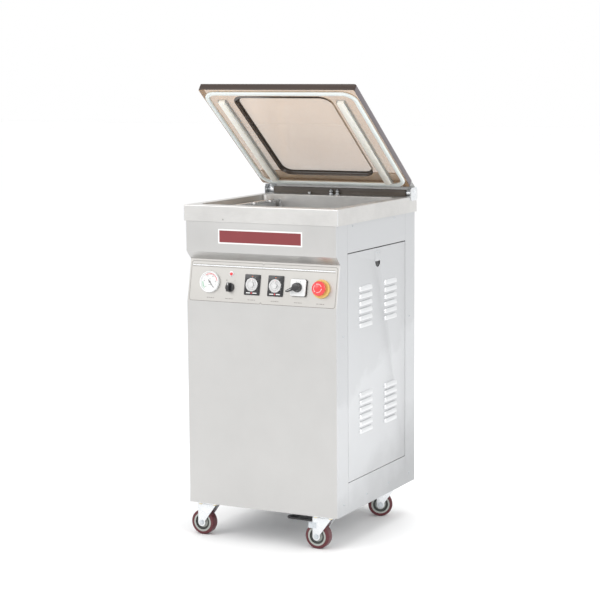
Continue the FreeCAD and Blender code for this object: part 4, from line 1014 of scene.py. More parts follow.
latchSizes = {"thick": 1.0, "corner": 3, "edge": 0.5, "button": (-9, 9, 5, 19), "proud": 1.4, "screwX": 9.75,
              "screwDown": 6, "screw": 2.4}
s = latchSizes
bm = bmesh.new()
roundedPlate(bm, latchLo.y / mm, latchHi.y / mm, latchZ, latchHi.z / mm, 0.02, s["thick"], s["corner"], s["edge"],
             doorPlace, 0, 6)
x0, x1, y0, y1 = s["button"]
roundedPlate(bm, latchY + x0, latchY + x1, latchZ + y0, latchZ + y1, 0.9, s["proud"], 2, 0.4, doorPlace, 0, 6)
for shift in (-s["screwX"], s["screwX"]):
    spot = Matrix.Translation((latchY + shift, latchHi.z / mm - s["screwDown"], s["thick"]))
    addScrew(bm, s["screw"], 0.9, doorPlace @ spot, 1)
show("latchPlateShown", bm, ["sideSteel", "zinc", "darkInk"], "door", "panel_steel", "latch_plate")

print("stage: lid")
# lip and lipDepth size a dark band reaching forward under the pocket's front: painted shade
lidSizes = {"edge": 0.9, "corner": 6.0, "gasketIn": 12.35, "gasketHalf": 7.0, "gasketFront": 18.0, "gasketBack": 10.0,
            "gasketRadius": 35.0, "seat": 3.0, "pocketHalf": 158.0, "pocketFront": 47.0, "pocketBack": 54.0,
            "pocketDepth": 13.0, "pocketRadius": 35.0, "mouth": 1.5, "cove": 6.5, "lip": 15.0, "lipDepth": 4.5}
lo, hi = localBox("lid_plate", lidPlace)
gasketX = hi.x - lidSizes["gasketIn"]
gasketBox = (-gasketX, gasketX, lo.y + lidSizes["gasketFront"], hi.y - lidSizes["gasketBack"])


def lidLoops(s, lo, hi):
    # from the upper face round the edge, over the gasket's seat and into the pocket
    def loop(box4, grown, radius, z, front=None):
        x0, x1, y0, y1 = box4
        ahead = grown if front is None else front
        return [(x, y, z) for x, y in roundedLoop(x0 - grown, x1 + grown, y0 - ahead, y1 + grown, radius + grown, 12)]

    edge, under, half = s["edge"], lo.z, s["gasketHalf"]
    lidBox = (lo.x, hi.x, lo.y, hi.y)
    pocketBox = (-s["pocketHalf"], s["pocketHalf"], lo.y + s["pocketFront"], hi.y - s["pocketBack"])
    loops = [(loop(lidBox, -inset, s["corner"], z), tone) for inset, z, tone in (
        (edge * 1.6, hi.z, 0), (edge * 0.3, hi.z - edge * 0.3, 1), (0, hi.z - edge, 1), (0, under + edge, 1),
        (edge * 0.3, under + edge * 0.3, 1), (edge, under, 0))]
    loops += [(loop(gasketBox, grown, s["gasketRadius"], z), 0) for grown, z in (
        (half, under), (half, under + s["seat"]), (-half, under + s["seat"]), (-half, under))]
    # the pocket's walls and a band reaching forward under the front are dark: painted shade for the refraction at the
    # walls
    quarter = [math.radians(turn) for turn in range(0, 91, 15)]
    for t in quarter:
        side, front = s["mouth"] * (1 - math.sin(t)), s["lip"] * (1 - math.sin(t))
        depth = s["mouth"] + (s["lipDepth"] - s["mouth"]) * math.sin(t)
        loops.append((loop(pocketBox, side, s["pocketRadius"], under + depth * (1 - math.cos(t)), front), 3))
    for t in quarter:
        height = under + s["pocketDepth"] - s["cove"] * (1 - math.sin(t))
        loops.append((loop(pocketBox, -s["cove"] * (1 - math.cos(t)), s["pocketRadius"], height), 3))
    return loops


loops = lidLoops(lidSizes, lo, hi)
bm = bmesh.new()
materials = [tone for points, tone in loops[:-1]]
addLoft(bm, [points for points, tone in loops], lidPlace, materials)
bm.faces.ensure_lookup_table()
bm.faces[-1].material_index = 4
bm.faces[-2].material_index = 0
toLid = lidPlace.inverted()
# edge faces away from the front take the lighter side-edge tone: painted reflection on the sawn sides
for face in bm.faces:
    if face.material_index == 1 and abs((toLid @ face.calc_center_median()).y - lo.y) > 7:
        face.material_index = 2
fit(makeObject("lidPlateShown", bm, ["lidClear", "lidFrontEdge", "lidSideEdge", "pocketWall", "lidThin"], 40),
    "lid", "lid_acrylic", "lid_plate")

half = lidSizes["gasketHalf"] - 0.1
base, tip = lo.z + lidSizes["seat"] - 0.05, localBox("lid_gasket", lidPlace)[0].z
section = [(-half, base), (half, base), (half, lo.z), (half - 0.6, tip + 2.4), (half - 2.0, tip + 0.6),
           (half - 3.4, tip), (1.2, tip), (0.5, tip + 0.8), (-0.5, tip + 0.8), (-1.2, tip), (3.4 - half, tip),
           (2.0 - half, tip + 0.6), (0.6 - half, tip + 2.4), (-half, lo.z)]
bm = bmesh.new()
addRing(bm, gasketBox, lidSizes["gasketRadius"], section, lidPlace, [0] * len(section), 16)
show("gasketShown", bm, ["gasket"], "lid", "silicone", "lid_gasket")

stripSizes = {"half": 9.95, "channelHalf": 14, "wall": 4, "web": 2, "taper": 0.04, "barHalf": 10}
s = stripSizes
stripLo, stripHi = localBox("pressure_strips", lidPlace)
channelLo, channelHi = localBox("strip_channels", lidPlace)
barX = high("seal_bar_right").x / mm - s["barHalf"]
foot, top, tip, h, n = channelLo.z, lo.z, stripLo.z, s["half"], s["channelHalf"]
channel = [(-n, top), (-n, foot), (s["wall"] - n, foot), (s["wall"] - n, top - s["web"]),
           (n - s["wall"], top - s["web"]), (n - s["wall"], foot), (n, foot), (n, top)]
bar = [(-h, top - 2.05), (h, top - 2.05), (h, tip + 2.5), (9.2, tip + 0.7), (7.5, tip), (-7.5, tip),
       (-9.2, tip + 0.7), (-h, tip + 2.5)]
bars = bmesh.new()
channels = bmesh.new()
for side in (-1, 1):
    place = lidPlace @ Matrix.Translation((side * barX, 0, 0))
    addBar(channels, channel, channelLo.y, channelHi.y, place)
    addBar(bars, bar, stripLo.y, stripHi.y, place, s["taper"])
fit(soften(makeObject("stripChannelsShown", channels, ["channelGrey"]), 0.3), "lid", "aluminium", "strip_channels")
show("pressureStripsShown", bars, ["pressStrip"], "lid", "silicone", "pressure_strips")

railSizes = {"edge": 0.5, "screwRadius": 4.0, "screwHeight": 2.2, "count": 6, "fromEnd": 18, "fromFront": 14}
s = railSizes
railLo, railHi = localBox("lid_rail", lidPlace)
rail = cadCopy("railBar", "lid_rail", ["darkBronze", "whiteInk"], s["edge"])
# faces turned to the lid are white: painted light on the rail's underside, which lies in shade under the lid
towardLid = (lidPlace.to_3x3() @ Vector((0, 0, -1))).normalized()
for polygon in rail.data.polygons:
    if polygon.normal.dot(towardLid) > 0.9:
        polygon.material_index = 1
bm = bmesh.new()
addScrew(bm, s["screwRadius"], s["screwHeight"], Matrix.Rotation(-lidOpen, 4, "X") @ world)
step = (railHi.x - s["fromEnd"]) * 2 * mm / (s["count"] - 1)
start = lidPlace @ Vector((s["fromEnd"] - railHi.x, railLo.y + s["fromFront"], railHi.z))
heads = rowOf("railScrews", makeObject("railScrewShape", bm, ["brightZinc", "darkInk"]), s["count"], (step, 0, 0),
              start, "brightZinc")
fit(join("lidRailShown", [rail, heads]), "lid", "dark_steel", "lid_rail")

print("stage: hinge")
washer = [(7.5, 0), (7.5, 1.4), (7.0, 1.8), (3.4, 1.8), (3.2, 0.4, 1), (0, 0.4, 1)]
bm = bmesh.new()
for side in (-1, 1):
    face = side * (high("hinge_end_plates").x / mm - 1)
    addLathe(bm, washer, at(world, (face, pivot.y / mm, pivot.z / mm), (side, 0, 0)), 32)
washers = makeObject("shaftWashers", bm, ["brightZinc", "darkInk"])
plates = cadCopy("endPlateShapes", "hinge_end_plates", ["brightZinc"], 0.5)
fit(join("endPlatesShown", [plates, washers]), "cabinet", "plated_steel", "hinge_end_plates")

springSizes = {"radius": 5.95, "wire": 0.65, "length": 118.7, "turns": 58.0, "first": 40.65}
s = springSizes
springs = []
for start in (-s["first"] - s["length"], s["first"]):
    place = at(Matrix.Translation((0, pivot.y, pivot.z)), (start * mm, 0, 0), (1, 0, 0))
    springs.append(grow("lidSpring" + str(start > 0), coil,
                        {"Radius": s["radius"] * mm, "Length": s["length"] * mm, "Turns": s["turns"],
                         "Wire": s["wire"] * mm}, place, "zinc"))
fit(join("torsionSpringsShown", springs), "cabinet", "plated_steel", "torsion_springs")

adjusterSizes = {"height": 17.0, "crest": 3.0, "root": 2.55, "steps": 22, "pitch": 0.76, "nut": 5.45,
                 "nuts": ((0.1, 4.5), (7.65, 12.15)), "washer": 0.6}
s = adjusterSizes
thread = [(s["crest"] if k % 2 else s["root"], 0.2 + k * s["pitch"]) for k in range(s["steps"])]
bm = bmesh.new()
for place, size in solidsOf("hinge_adjusters"):
    addLathe(bm, [(0, 0)] + thread + [(0, s["height"])], place, 20)
    for foot, top in s["nuts"]:
        addNut(bm, s["nut"], foot, top - s["washer"], 3.05, place)
        addLathe(bm, [(3.1, top), (5.2, top), (5.2, top + s["washer"]), (3.1, top + s["washer"])], place, 24, True)
show("hingeAdjustersShown", bm, ["brightZinc"], "cabinet", "plated_steel", "hinge_adjusters")

place, size = next(solidsOf("lid_switch_plunger"))
top = size.z
bm = bmesh.new()
addLathe(bm, [(0, 0), (4.3, 0), (4.5, 0.4), (4.5, 5.6), (4.2, 6), (3.0, 6), (3.0, top - 3), (4.3, top - 3),
              (4.5, top - 2.7), (4.5, top - 1.2), (3.7, top - 0.3), (2.0, top), (0, top)], place, 32)
show("plungerShown", bm, ["whitePlastic"], "lid_switch", "white_plastic", "lid_switch_plunger")

print("stage: chamber")
cylinderSizes = {"radius": 14.9, "waist": 14.2, "bore": 8.2, "least": (25, 40)}
s = cylinderSizes
r, waist, bore = s["radius"], s["waist"], s["bore"]
bm = bmesh.new()
for place, size in solidsOf("lift_cylinders"):
    if size.x < s["least"][0] or size.z < s["least"][1]:
        continue
    top = size.z
    addLathe(bm, [(r, 0), (r, 6), (waist, 7), (waist, top - 12), (r, top - 11), (r, top - 0.8), (14.3, top - 0.1),
                  (bore, top - 0.1), (bore, 5), (bore, 0)], place, 40, True)
show("liftCylindersShown", bm, ["aluminium"], "cabinet", "aluminium", "lift_cylinders")

for side in ("left", "right"):
    tape = "heating_strip_" + side
    lo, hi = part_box(tape)
    foot, top = lo.z / mm, hi.z / mm
    outline = [(9.9, foot + 0.02), (9.9, top - 1.2), (8.6, top - 0.35), (2.6, top - 0.3), (1.6, top)]
    outline += [(-x, z) for x, z in outline[::-1]]
    bm = bmesh.new()
    addBar(bm, outline, lo.y / mm, hi.y / mm, world @ Matrix.Translation(((lo.x + hi.x) / 2 / mm, 0, 0)))
    show("heatingStripShown_" + side, bm, ["tape"], side + "_bar", "ptfe_tape", tape)

pipeSizes = {"radius": 4.0, "bend": 9.0, "count": 4, "first": 15.0, "last": 85.0, "nut": 6.0}
s = pipeSizes
lo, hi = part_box("gas_nozzle_pipe")
r, bend = s["radius"], s["bend"]
x, z = lo.x / mm + r, hi.z / mm - r
near, far, foot = lo.y / mm + r, hi.y / mm - r, lo.z / mm
quarter = [math.radians(t) for t in range(15, 90, 15)]
path = [(x, near, foot + 0.1), (x, near, (foot + z) / 2), (x, near, z - bend)]
path += [(x, near + bend - bend * math.cos(t), z - bend + bend * math.sin(t)) for t in quarter]
path += [(x, near + bend, z), (x, (near + far) / 2, z), (x, far - bend, z)]
path += [(x, far - bend + bend * math.sin(t), z - bend + bend * math.cos(t)) for t in quarter]
path += [(x, far, z - bend), (x, far, (foot + z) / 2), (x, far, foot + 0.1)]
collar = [(4.6, -3.2), (5.0, -2.6), (5.0, 2.6), (4.6, 3.2)]
nozzle = [(2.6, 2.5, 1), (2.6, 5.2, 1), (3.8, 5.6, 1), (3.8, 8.2, 1), (2.5, 10.8, 1), (1.0, 11, 1), (1.0, 9, 1),
          (0, 9, 1)]
bm = bmesh.new()
addTube(bm, path, r * 0.98, world, 20)
for y in (near, far):
    addNut(bm, s["nut"], 0.1, 6.0, r, world @ Matrix.Translation((x, y, foot)))
pitch = (far - near - s["first"] - s["last"]) / (s["count"] - 1)
for k in range(s["count"]):
    spot = (x, near + s["first"] + k * pitch, z)
    addLathe(bm, collar, at(world, spot, (0, 1, 0)), 24, True)
    addLathe(bm, nozzle, at(world, spot, (1, 0, 0)), 24)
show("gasPipeShown", bm, ["brightZinc", "whitePlastic"], "cabinet", "plated_steel", "gas_nozzle_pipe")

postSizes = {"least": 60, "slim": 16, "dome": 13}
s = postSizes
bm = bmesh.new()
for place, size in solidsOf("chamber_posts"):
    top, r = size.z, s["dome"]
    if top < s["least"]:
        continue
    if size.x < s["slim"]:
        addLathe(bm, [(0, 0), (7, 0), (7, 3), (5.2, 4), (5.2, top - 3), (4.4, top - 0.8), (2.6, top), (0, top)],
                 place, 32)
    else:
        dome = [(r * math.cos(t), top - r + r * math.sin(t)) for t in [math.radians(k) for k in range(0, 90, 10)]]
        addLathe(bm, [(0, 0), (9, 0), (9, 3), (6.4, 4), (6.4, top - 20.8), (12.4, top - 20.8), (r, top - 20)] + dome
                 + [(0, top)], place, 40)
show("chamberPostsShown", bm, ["whitePlastic"], "cabinet", "white_plastic", "chamber_posts")

print("stage: control panel")
overlaySizes = {"x": 237.5, "low": 0.8, "high": 117.0, "chamfer": 5.0, "line": 1.2, "notch": 4.0, "ridgeLow": 101.5,
                "ridgeX": (-234.0, 232.0), "ridges": ((0, 1.1, 0.2, 2), (3.6, 2.4, 0.5, 1), (6.2, 1.1, 0.2, 2))}
s = overlaySizes
x, c, half, foot, top = s["x"], s["chamfer"], s["line"] / 2, s["low"], s["high"]
lower = [(-x, foot + c), (-x + c, foot), (-4, foot), (0, foot + s["notch"]), (4, foot), (x - c, foot), (x, foot + c)]
upper = [(x, top - c), (x - c, top), (4, top), (0, top - s["notch"]), (-4, top), (-x + c, top), (-x, top - c)]
bm = bmesh.new()
addTrack(bm, lower + upper, [(-half, -0.02), (half, -0.02), (half, 0.14), (-half, 0.14)], panelPlace)
for k, (rise, width, proud, tone) in enumerate(s["ridges"]):
    y = s["ridgeLow"] + rise
    addStrip(bm, [(s["ridgeX"][0] + k, y), (s["ridgeX"][1] - k, y)], width, -0.02, proud, panelPlace, tone)
show("panelOverlayLines", bm, ["greyInk", "brightZinc", "greyInk"], "cabinet", "panel_steel")

labelSizes = {"up": 11.0, "high": 2.2, "widths": (5, 3, 6, 4), "gap": 2}
s = labelSizes
bm = bmesh.new()
for x in [spotOf(node).x for node in ("gauge_needle", "power_knob", "vacuum_timer_dial", "sealing_timer_dial",
                                      "stop_button")] + [jointAt("cam_switch_turn").x]:
    x -= sum(s["widths"]) / 2 + 3
    for width in s["widths"]:
        addStrip(bm, [(x, s["up"]), (x + width, s["up"])], s["high"], -0.02, 0.08, panelPlace)
        x += width + s["gap"]
show("panelLabelMarks", bm, ["paleInk"], "cabinet", "panel_steel")

gaugeSizes = {"face": 2.98, "band": 23.6, "ticks": 27, "first": -50, "turn": 280 / 26, "figures": 18.2}
s = gaugeSizes
gaugeSpot = panelSpot("gauge_needle_turn")
place = controlPlace(gaugeSpot)
bm = bmesh.new()
can = [(0, -31.9, 2), (26.6, -31.9, 2), (26.9, -31, 2), (26.9, 0.02), (31.0, 0.02), (31.4, 0.6), (31.4, 6.5),
       (31.0, 8.2), (30.0, 9.0), (29.2, 8.9), (28.6, 8.0), (28.5, 3.0, 1), (0, 3.0, 1)]
addLathe(bm, can, place, 72)
case = makeObject("gaugeCan", bm, ["whitePlastic", "whiteInk", "blackPlastic"], 50)
bm = bmesh.new()
addStrip(bm, arc((0, 0), s["band"], 10, 128, 40), 2.4, s["face"], 3.14, place)
addStrip(bm, arc((0, 0), s["band"], 180, 228, 20), 2.4, s["face"], 3.14, place, 1)
for k in range(6):
    turn = math.radians(230 - 56 * k)
    x, y = s["figures"] * math.cos(turn), s["figures"] * math.sin(turn)
    addStrip(bm, [(x - 1.6, y), (x + 1.6, y)], 2.4, s["face"], 3.1, place, 3)
addStrip(bm, [(-5, -9), (5, -9)], 1.6, s["face"], 3.1, place, 3)
addStrip(bm, [(-3, 8), (3, 8)], 1.6, s["face"], 3.1, place, 3)
marks = makeObject("gaugeBands", bm, ["redPaint", "greenPaint", "darkInk", "greyInk"])
ticks = ringOf("gaugeTicks", (19.6, -0.22, s["face"]), (22.2, 0.22, 3.12), s["ticks"], s["first"], s["turn"], place,
               "darkInk")
fit(join("gaugeCaseShown", [case, marks, ticks]), "cabinet", "white_plastic", "gauge_case")
bm = bmesh.new()
lens = [(0, 7.0), (20, 6.8), (27, 6.5), (28.4, 6.2), (28.4, 7.0), (27.0, 7.35), (20, 7.6), (0, 7.8)]
addLathe(bm, lens, place, 64)
fit(makeObject("gaugeLens", bm, ["glass"], 60), "cabinet", "white_plastic")
bm = bmesh.new()
hand = [(-7.5, -1.8), (-5, -1.1), (0, -1.4), (22.8, -0.45), (22.8, 0.45), (0, 1.4), (-5, 1.1), (-7.5, 1.8)]
addPrism(bm, hand, 3.85, 4.5, place @ Matrix.Rotation(math.radians(s["first"]), 4, "Z"))
addLathe(bm, [(0, 3.35), (2.9, 3.35), (2.9, 4.8), (2.3, 5.3), (0, 5.3)], place, 28)
show("needleShown", bm, ["darkInk"], "needle", "black_plastic", "gauge_needle")

lamp = [(0, -11.9, 2), (3.9, -11.9, 2), (3.9, 0.0, 1), (7.2, 0.0, 1), (7.2, 1.2, 1), (6.4, 1.9, 1), (5.2, 1.9, 1),
        (5.0, 0.9), (4.9, 2.4), (4.3, 3.6), (3.0, 4.5), (1.5, 4.9), (0, 5.0)]
bm = bmesh.new()
addLathe(bm, lamp, controlPlace(spotOf("power_lamp")), 36)
fit(makeObject("powerLampShown", bm, ["redPlastic", "brightZinc", "blackPlastic"], 50), "cabinet", "red_plastic",
    "power_lamp")

knobSizes = {"half": 4.3, "long": 13.4, "low": 4.5, "high": 15.8, "mark": 1.1}
s = knobSizes
spot = panelSpot("power_knob_turn")
place = controlPlace(spot)
bm = bmesh.new()
addLathe(bm, [(0, -9.9), (2.95, -9.9), (2.95, 0.35), (13.4, 0.35), (14, 1.2), (13.8, 3.6), (13.0, 4.9), (0, 5.0)],
         place, 48)
grip = [(-1, -0.94), (-0.6, -1), (0.6, -1), (1, -0.94), (0.8, 0), (1, 0.9), (0.5, 1), (-0.5, 1), (-1, 0.9), (-0.8, 0)]
addPrism(bm, [(x * s["half"], y * s["long"]) for x, y in grip], s["low"], s["high"], place)
knob = soften(makeObject("knobGrip", bm, ["glossBlack"]), 0.8, 3)
bm = bmesh.new()
addStrip(bm, [(0, 5), (0, 12.6)], s["mark"], s["high"] - 0.2, s["high"] + 0.15, place)
fit(join("powerKnobShown", [knob, makeObject("knobIndex", bm, ["whiteInk"])]), "power_switch", "black_plastic",
    "power_knob")
bm = bmesh.new()
section = [(-0.35, -0.02), (0.35, -0.02), (0.35, 0.1), (-0.35, 0.1)]
addTrack(bm, arc((spot.x - 12, spot.y + 20), 1.7, 0, 330, 11), section, panelPlace)
addStrip(bm, [(spot.x + 15, spot.y + 18), (spot.x + 15, spot.y + 22)], 0.8, -0.02, 0.1, panelPlace)
for shift in ((0.0, 33.6, 0), (-33.4, -8, 0), (33.4, -8, 0)):
    addLathe(bm, [(0, -0.02), (1.1, -0.02), (1.1, 0.3), (0.7, 0.5), (0, 0.5)],
             controlPlace(gaugeSpot + Vector(shift)), 12)
show("panelMarks", bm, ["darkInk"], "cabinet", "panel_steel")

timerSizes = {"width": 50.0, "height": 60.0, "proud": 4.0, "deep": 45.0, "tile": (22, 27), "body": 20,
              "sheet": 3.0, "ink": 3.95, "marks": 24, "ridges": 60}
s = timerSizes
ink, proud = s["ink"], s["proud"]
dial = [(0, -9.6), (2.9, -9.6), (2.9, 4.35), (18.9, 4.35), (19.4, 5.0), (19.4, 6.4), (18.6, 7.2), (17.6, 7.3),
        (17.2, 7.0), (9.6, 7.0), (9.0, 7.4), (8.2, 7.4), (8.0, 10.6), (7.2, 11.25), (0, 11.3)]
flanges = bmesh.new()
tickPieces = []
for name in ("vacuum_timer", "sealing_timer"):
    place = controlPlace(panelSpot(name + "_turn"))
    for x, y, foot, top, corner, edge, count in (
            (s["width"] / 2, s["height"] / 2, 0.02, s["sheet"], 2.0, 0.8, 5), (*s["tile"], 2.9, proud, 1.5, 0.5, 5),
            (s["body"], s["body"], 0.1 - s["deep"], 0.1, 1.0, 0.5, 4)):
        roundedPlate(flanges, -x, x, -y, y, foot, top, corner, edge, place, 0, count)
    for x0, x1, y, width, tone in ((-2.2, 2.2, 24, 1.6, 2), (-17, -4, -24, 2.6, 1), (4, 17, -24, 2.6, 1)):
        addStrip(flanges, [(x0, y), (x1, y)], width, ink, proud + 0.12, place, tone)
    addPrism(flanges, [(-2, -25.8), (2, -25.8), (0.6, -21.2), (-0.6, -21.2)], ink, proud + 0.2, place, 3)
    tickPieces.append(ringOf(name + "Ticks", (20.2, -0.2, ink), (21.6, 0.2, proud + 0.1), 13, -60, 25, place,
                             "whiteInk"))
    bm = bmesh.new()
    addLathe(bm, dial, place, 60)
    addPrism(bm, [(-1.2, 2), (1.2, 2), (0.9, 13.2), (-0.9, 13.2)], 7.1, 9.2, place, 1)
    addStrip(bm, [(0, 13.8), (0, 17.0)], 1.0, 6.95, 7.3, place, 2)
    plain = makeObject(name + "Disc", bm, ["dialSilver", "whiteInk", "redPaint"], 30)
    marks = ringOf(name + "DialMarks", (11.6, -0.35, 6.9), (16.0, 0.35, 7.12), s["marks"], 0, 360 / s["marks"],
                   place, "darkInk")
    ridges = ringOf(name + "Knurl", (19.2, -0.35, 4.9), (19.49, 0.35, 6.5), s["ridges"], 0, 360 / s["ridges"],
                    place, "dialSilver")
    fit(join(name + "DialShown", [plain, marks, ridges]), name, "dial_silver", name + "_dial")
bodies = makeObject("timerPlates", flanges, ["glossBlack", "whiteInk", "orangePlastic", "redPaint"])
fit(join("timerBodiesShown", [bodies] + tickPieces), "cabinet", "black_plastic", "timer_bodies")

camSizes = {"half": 25, "high": 9.0, "leverTurn": 25, "leverLow": 15.5, "leverHigh": 26.0}
s = camSizes
place = controlPlace(panelSpot("cam_switch_turn"))
bm = bmesh.new()
for half, foot, top, corner, edge, tone, count in (
        (s["half"], 0.02, 5.2, 6, 0.6, 1, 8), (24.2, 5.1, s["high"], 5.5, 1.4, 0, 8), (20, -44.9, 0.1, 2, 0.5, 1, 4)):
    roundedPlate(bm, -half, half, -half, half, foot, top, corner, edge, place, tone, count)
for turn in (65, 110, 155):
    ray = Vector((math.cos(math.radians(turn)), math.sin(math.radians(turn))))
    addStrip(bm, [tuple(ray * 17.5), tuple(ray * 20.5)], 0.9, s["high"] - 0.05, s["high"] + 0.1, place, 1)
show("camSwitchBodyShown", bm, ["whitePlastic", "blackPlastic"], "cabinet", "white_plastic", "cam_switch_body")
bm = bmesh.new()
addLathe(bm, [(0, -9.6), (2.9, -9.6), (2.9, 9.4), (13.6, 9.4), (14, 10), (14, 14.0), (13, 15.2), (12, 15.6),
              (11.8, 24.6), (10.6, 26.2), (0, 26.2)], place, 48)
turned = place @ Matrix.Rotation(math.radians(s["leverTurn"]), 4, "Z")
side = [(8, 3.6), (-10, 4.6), (-26, 3.4), (-31.5, 2.6), (-33, 0.8)]
addPrism(bm, [(8, -3.6)] + side + [(x, -y) for x, y in side[:0:-1]], s["leverLow"], s["leverHigh"], turned)
knob = soften(makeObject("leverShape", bm, ["glossBlack"]), 1.1, 3)
bm = bmesh.new()
addStrip(bm, [(-15, 0), (-29, 0)], 1.0, s["leverHigh"] - 0.2, s["leverHigh"] + 0.15, turned)
fit(join("camKnobShown", [knob, makeObject("leverLine", bm, ["whiteInk"])]), "cam_switch", "black_plastic",
    "cam_switch_knob")

stopSizes = {"dome": 33.6, "low": 12.35, "high": 28.25, "cap": 20.2, "rim": 20.9, "arrow": 12.0, "sweep": 82,
             "ribs": 36}
s = stopSizes
place = controlPlace(spotOf("stop_collar"))
bm = bmesh.new()
addLathe(bm, [(5.1, -27.9, 1), (9.8, -29.9, 1), (9.9, 0.02), (26.4, 0.02), (27, 0.7), (27, 4.6), (26.2, 6.0),
              (24.8, 6.9), (22.5, 6.95), (14, 6.6), (5.1, 6.4)], place, 64, True)
collar = makeObject("stopCollarRing", bm, ["amberRing", "blackPlastic"])
ribs = ringOf("stopCollarRibs", (26.6, -0.5, 0.8), (26.99, 0.5, 4.8), s["ribs"], 0, 360 / s["ribs"], place,
              "amberRing")
fit(join("stopCollarShown", [collar, ribs]), "cabinet", "yellow_plastic", "stop_collar")


def domeHeight(radius):
    return stopSizes["high"] - stopSizes["dome"] + math.sqrt(stopSizes["dome"] ** 2 - radius ** 2)


cap = [(s["cap"] * k / 8, domeHeight(s["cap"] * k / 8)) for k in range(8, -1, -1)]
bm = bmesh.new()
addLathe(bm, [(0, -19.9, 1), (4.95, -19.9, 1), (4.95, s["low"]), (14, s["low"] + 0.2), (16, s["low"] + 1.5),
              (20.0, s["low"] + 2.6), (s["rim"], s["low"] + 4.0), (s["rim"], cap[0][1] - 1.2)] + cap, place, 64)
height = domeHeight(s["arrow"])
for start in (20, 140, 260):
    addStrip(bm, arc((0, 0), s["arrow"], start, start + s["sweep"], 14), 1.9, height - 0.4, height + 0.28, place, 2)
    tip = math.radians(start + s["sweep"])
    sideways = Vector((math.cos(tip), math.sin(tip)))
    ahead = Vector((-math.sin(tip), math.cos(tip)))
    tipAt = sideways * s["arrow"]
    point = [tuple(tipAt + sideways * 2.6), tuple(tipAt - sideways * 2.6), tuple(tipAt + ahead * 3.8)]
    addPrism(bm, point, height - 0.6, height + 0.28, place, 2)
fit(makeObject("stopButtonShown", bm, ["redPlastic", "blackPlastic", "paleRed"], 40), "stop", "red_plastic",
    "stop_button")

print("stage: casters")
casterSizes = {"plateHalf": 33, "thick": 3.0, "bolt": 24, "nut": 5.4, "crownHigh": 8.0, "sheet": 2.5, "gap": 15.5,
               "wide": 17.9, "trail": 26.0, "wheel": 37.5, "wheelHalf": 14.0, "bearing": 21.9, "boss": 12.0}
s = casterSizes
corners = ("front_left", "front_right", "rear_left", "rear_right")
plateTop = high("caster_plates").z / mm
plateLow = plateTop - s["thick"]
plates = bmesh.new()
for corner in corners:
    swivel = jointAt("swivel_" + corner)
    place = world @ Matrix.Translation((swivel.x, swivel.y, 0))
    half, foot, bolt = s["plateHalf"], plateLow, s["bolt"]
    roundedPlate(plates, -half, half, -half, half, foot, plateTop - 0.02, 5, 0.5, place, 0, 6)
    addLathe(plates, [(0, foot - 8), (5.2, foot - 8), (5.9, foot - 7.2), (5.9, foot + 1), (0, foot + 1)], place, 28)
    for spot in ((-bolt, -bolt, 0), (-bolt, bolt, 0), (bolt, -bolt, 0), (bolt, bolt, 0)):
        nut = place @ Matrix.Translation(spot)
        addNut(plates, s["nut"], foot - 4, foot + 0.1, 2.8, nut, 1)
        addPin(plates, 2.9, foot - 5.4, foot - 3.5, nut, 20, 1)
show("casterPlatesShown", plates, ["brightZinc", "nutBrass"], "cabinet", "plated_steel", "caster_plates")


def casterFrame(corner):
    # a caster's own frame: X along its trail, the swivel at the origin
    swivel = jointAt("swivel_" + corner)
    axle = jointAt("roll_" + corner)
    along = Vector((axle.x - swivel.x, axle.y - swivel.y, 0)).normalized()
    upward = Vector((0, 0, 1))
    return placed(Vector((swivel.x, swivel.y, 0)) * mm, along, upward.cross(along), upward), swivel, along


def addFork(bm, s, place):
    # two cheeks, the crown between them and the swivel's bearing above it
    top = plateLow - 0.3
    crown = top - s["crownHigh"]
    outline = [(-22.5, crown + s["sheet"]), (37.6, crown + s["sheet"])]
    outline += arc((s["trail"], s["wheel"]), s["boss"], 0, -205, 20)
    for side in (-1, 1):
        face = side * (s["gap"] + s["sheet"] / 2)
        flat = place @ Matrix.Translation((0, face, 0)) @ Matrix.Rotation(math.radians(90), 4, "X")
        addPrism(bm, outline, -s["sheet"] / 2, s["sheet"] / 2, flat)
    addBox(bm, (-22.3, -s["wide"], crown + 0.02), (37.4, s["wide"], crown + s["sheet"] - 0.02), place)
    r = s["bearing"]
    addLathe(bm, [(6.2, crown), (21.0, crown + 0.1), (r, crown + 0.9), (r, crown + 3.2), (20.6, crown + 3.7),
                  (20.6, crown + 4.6), (r, crown + 5.1), (r, top - 0.6), (21.2, top - 0.02), (6.2, top - 0.02)],
             place, 56, True)


def addBrakeLugs(bm, place, ahead, up):
    # the brake's pivot pin and the two plates screwed outside the cheeks
    addPin(bm, 2.5, -15.4, 15.4, at(place, (ahead, 0, up), (0, 1, 0)), 24)
    for side in (-1, 1):
        near, far = sorted((side * 17.5, side * 19.1))
        addBox(bm, (ahead + 10, near, up - 22), (ahead + 34, far, up - 4), place)
        for x, drop in ((15, 8), (27, 9), (20, 17)):
            spot = at(place, (ahead + x, side * 19.0, up - drop), (0, side, 0))
            addLathe(bm, [(2.7, 0), (2.7, 1.2), (0, 1.9)], spot, 20)


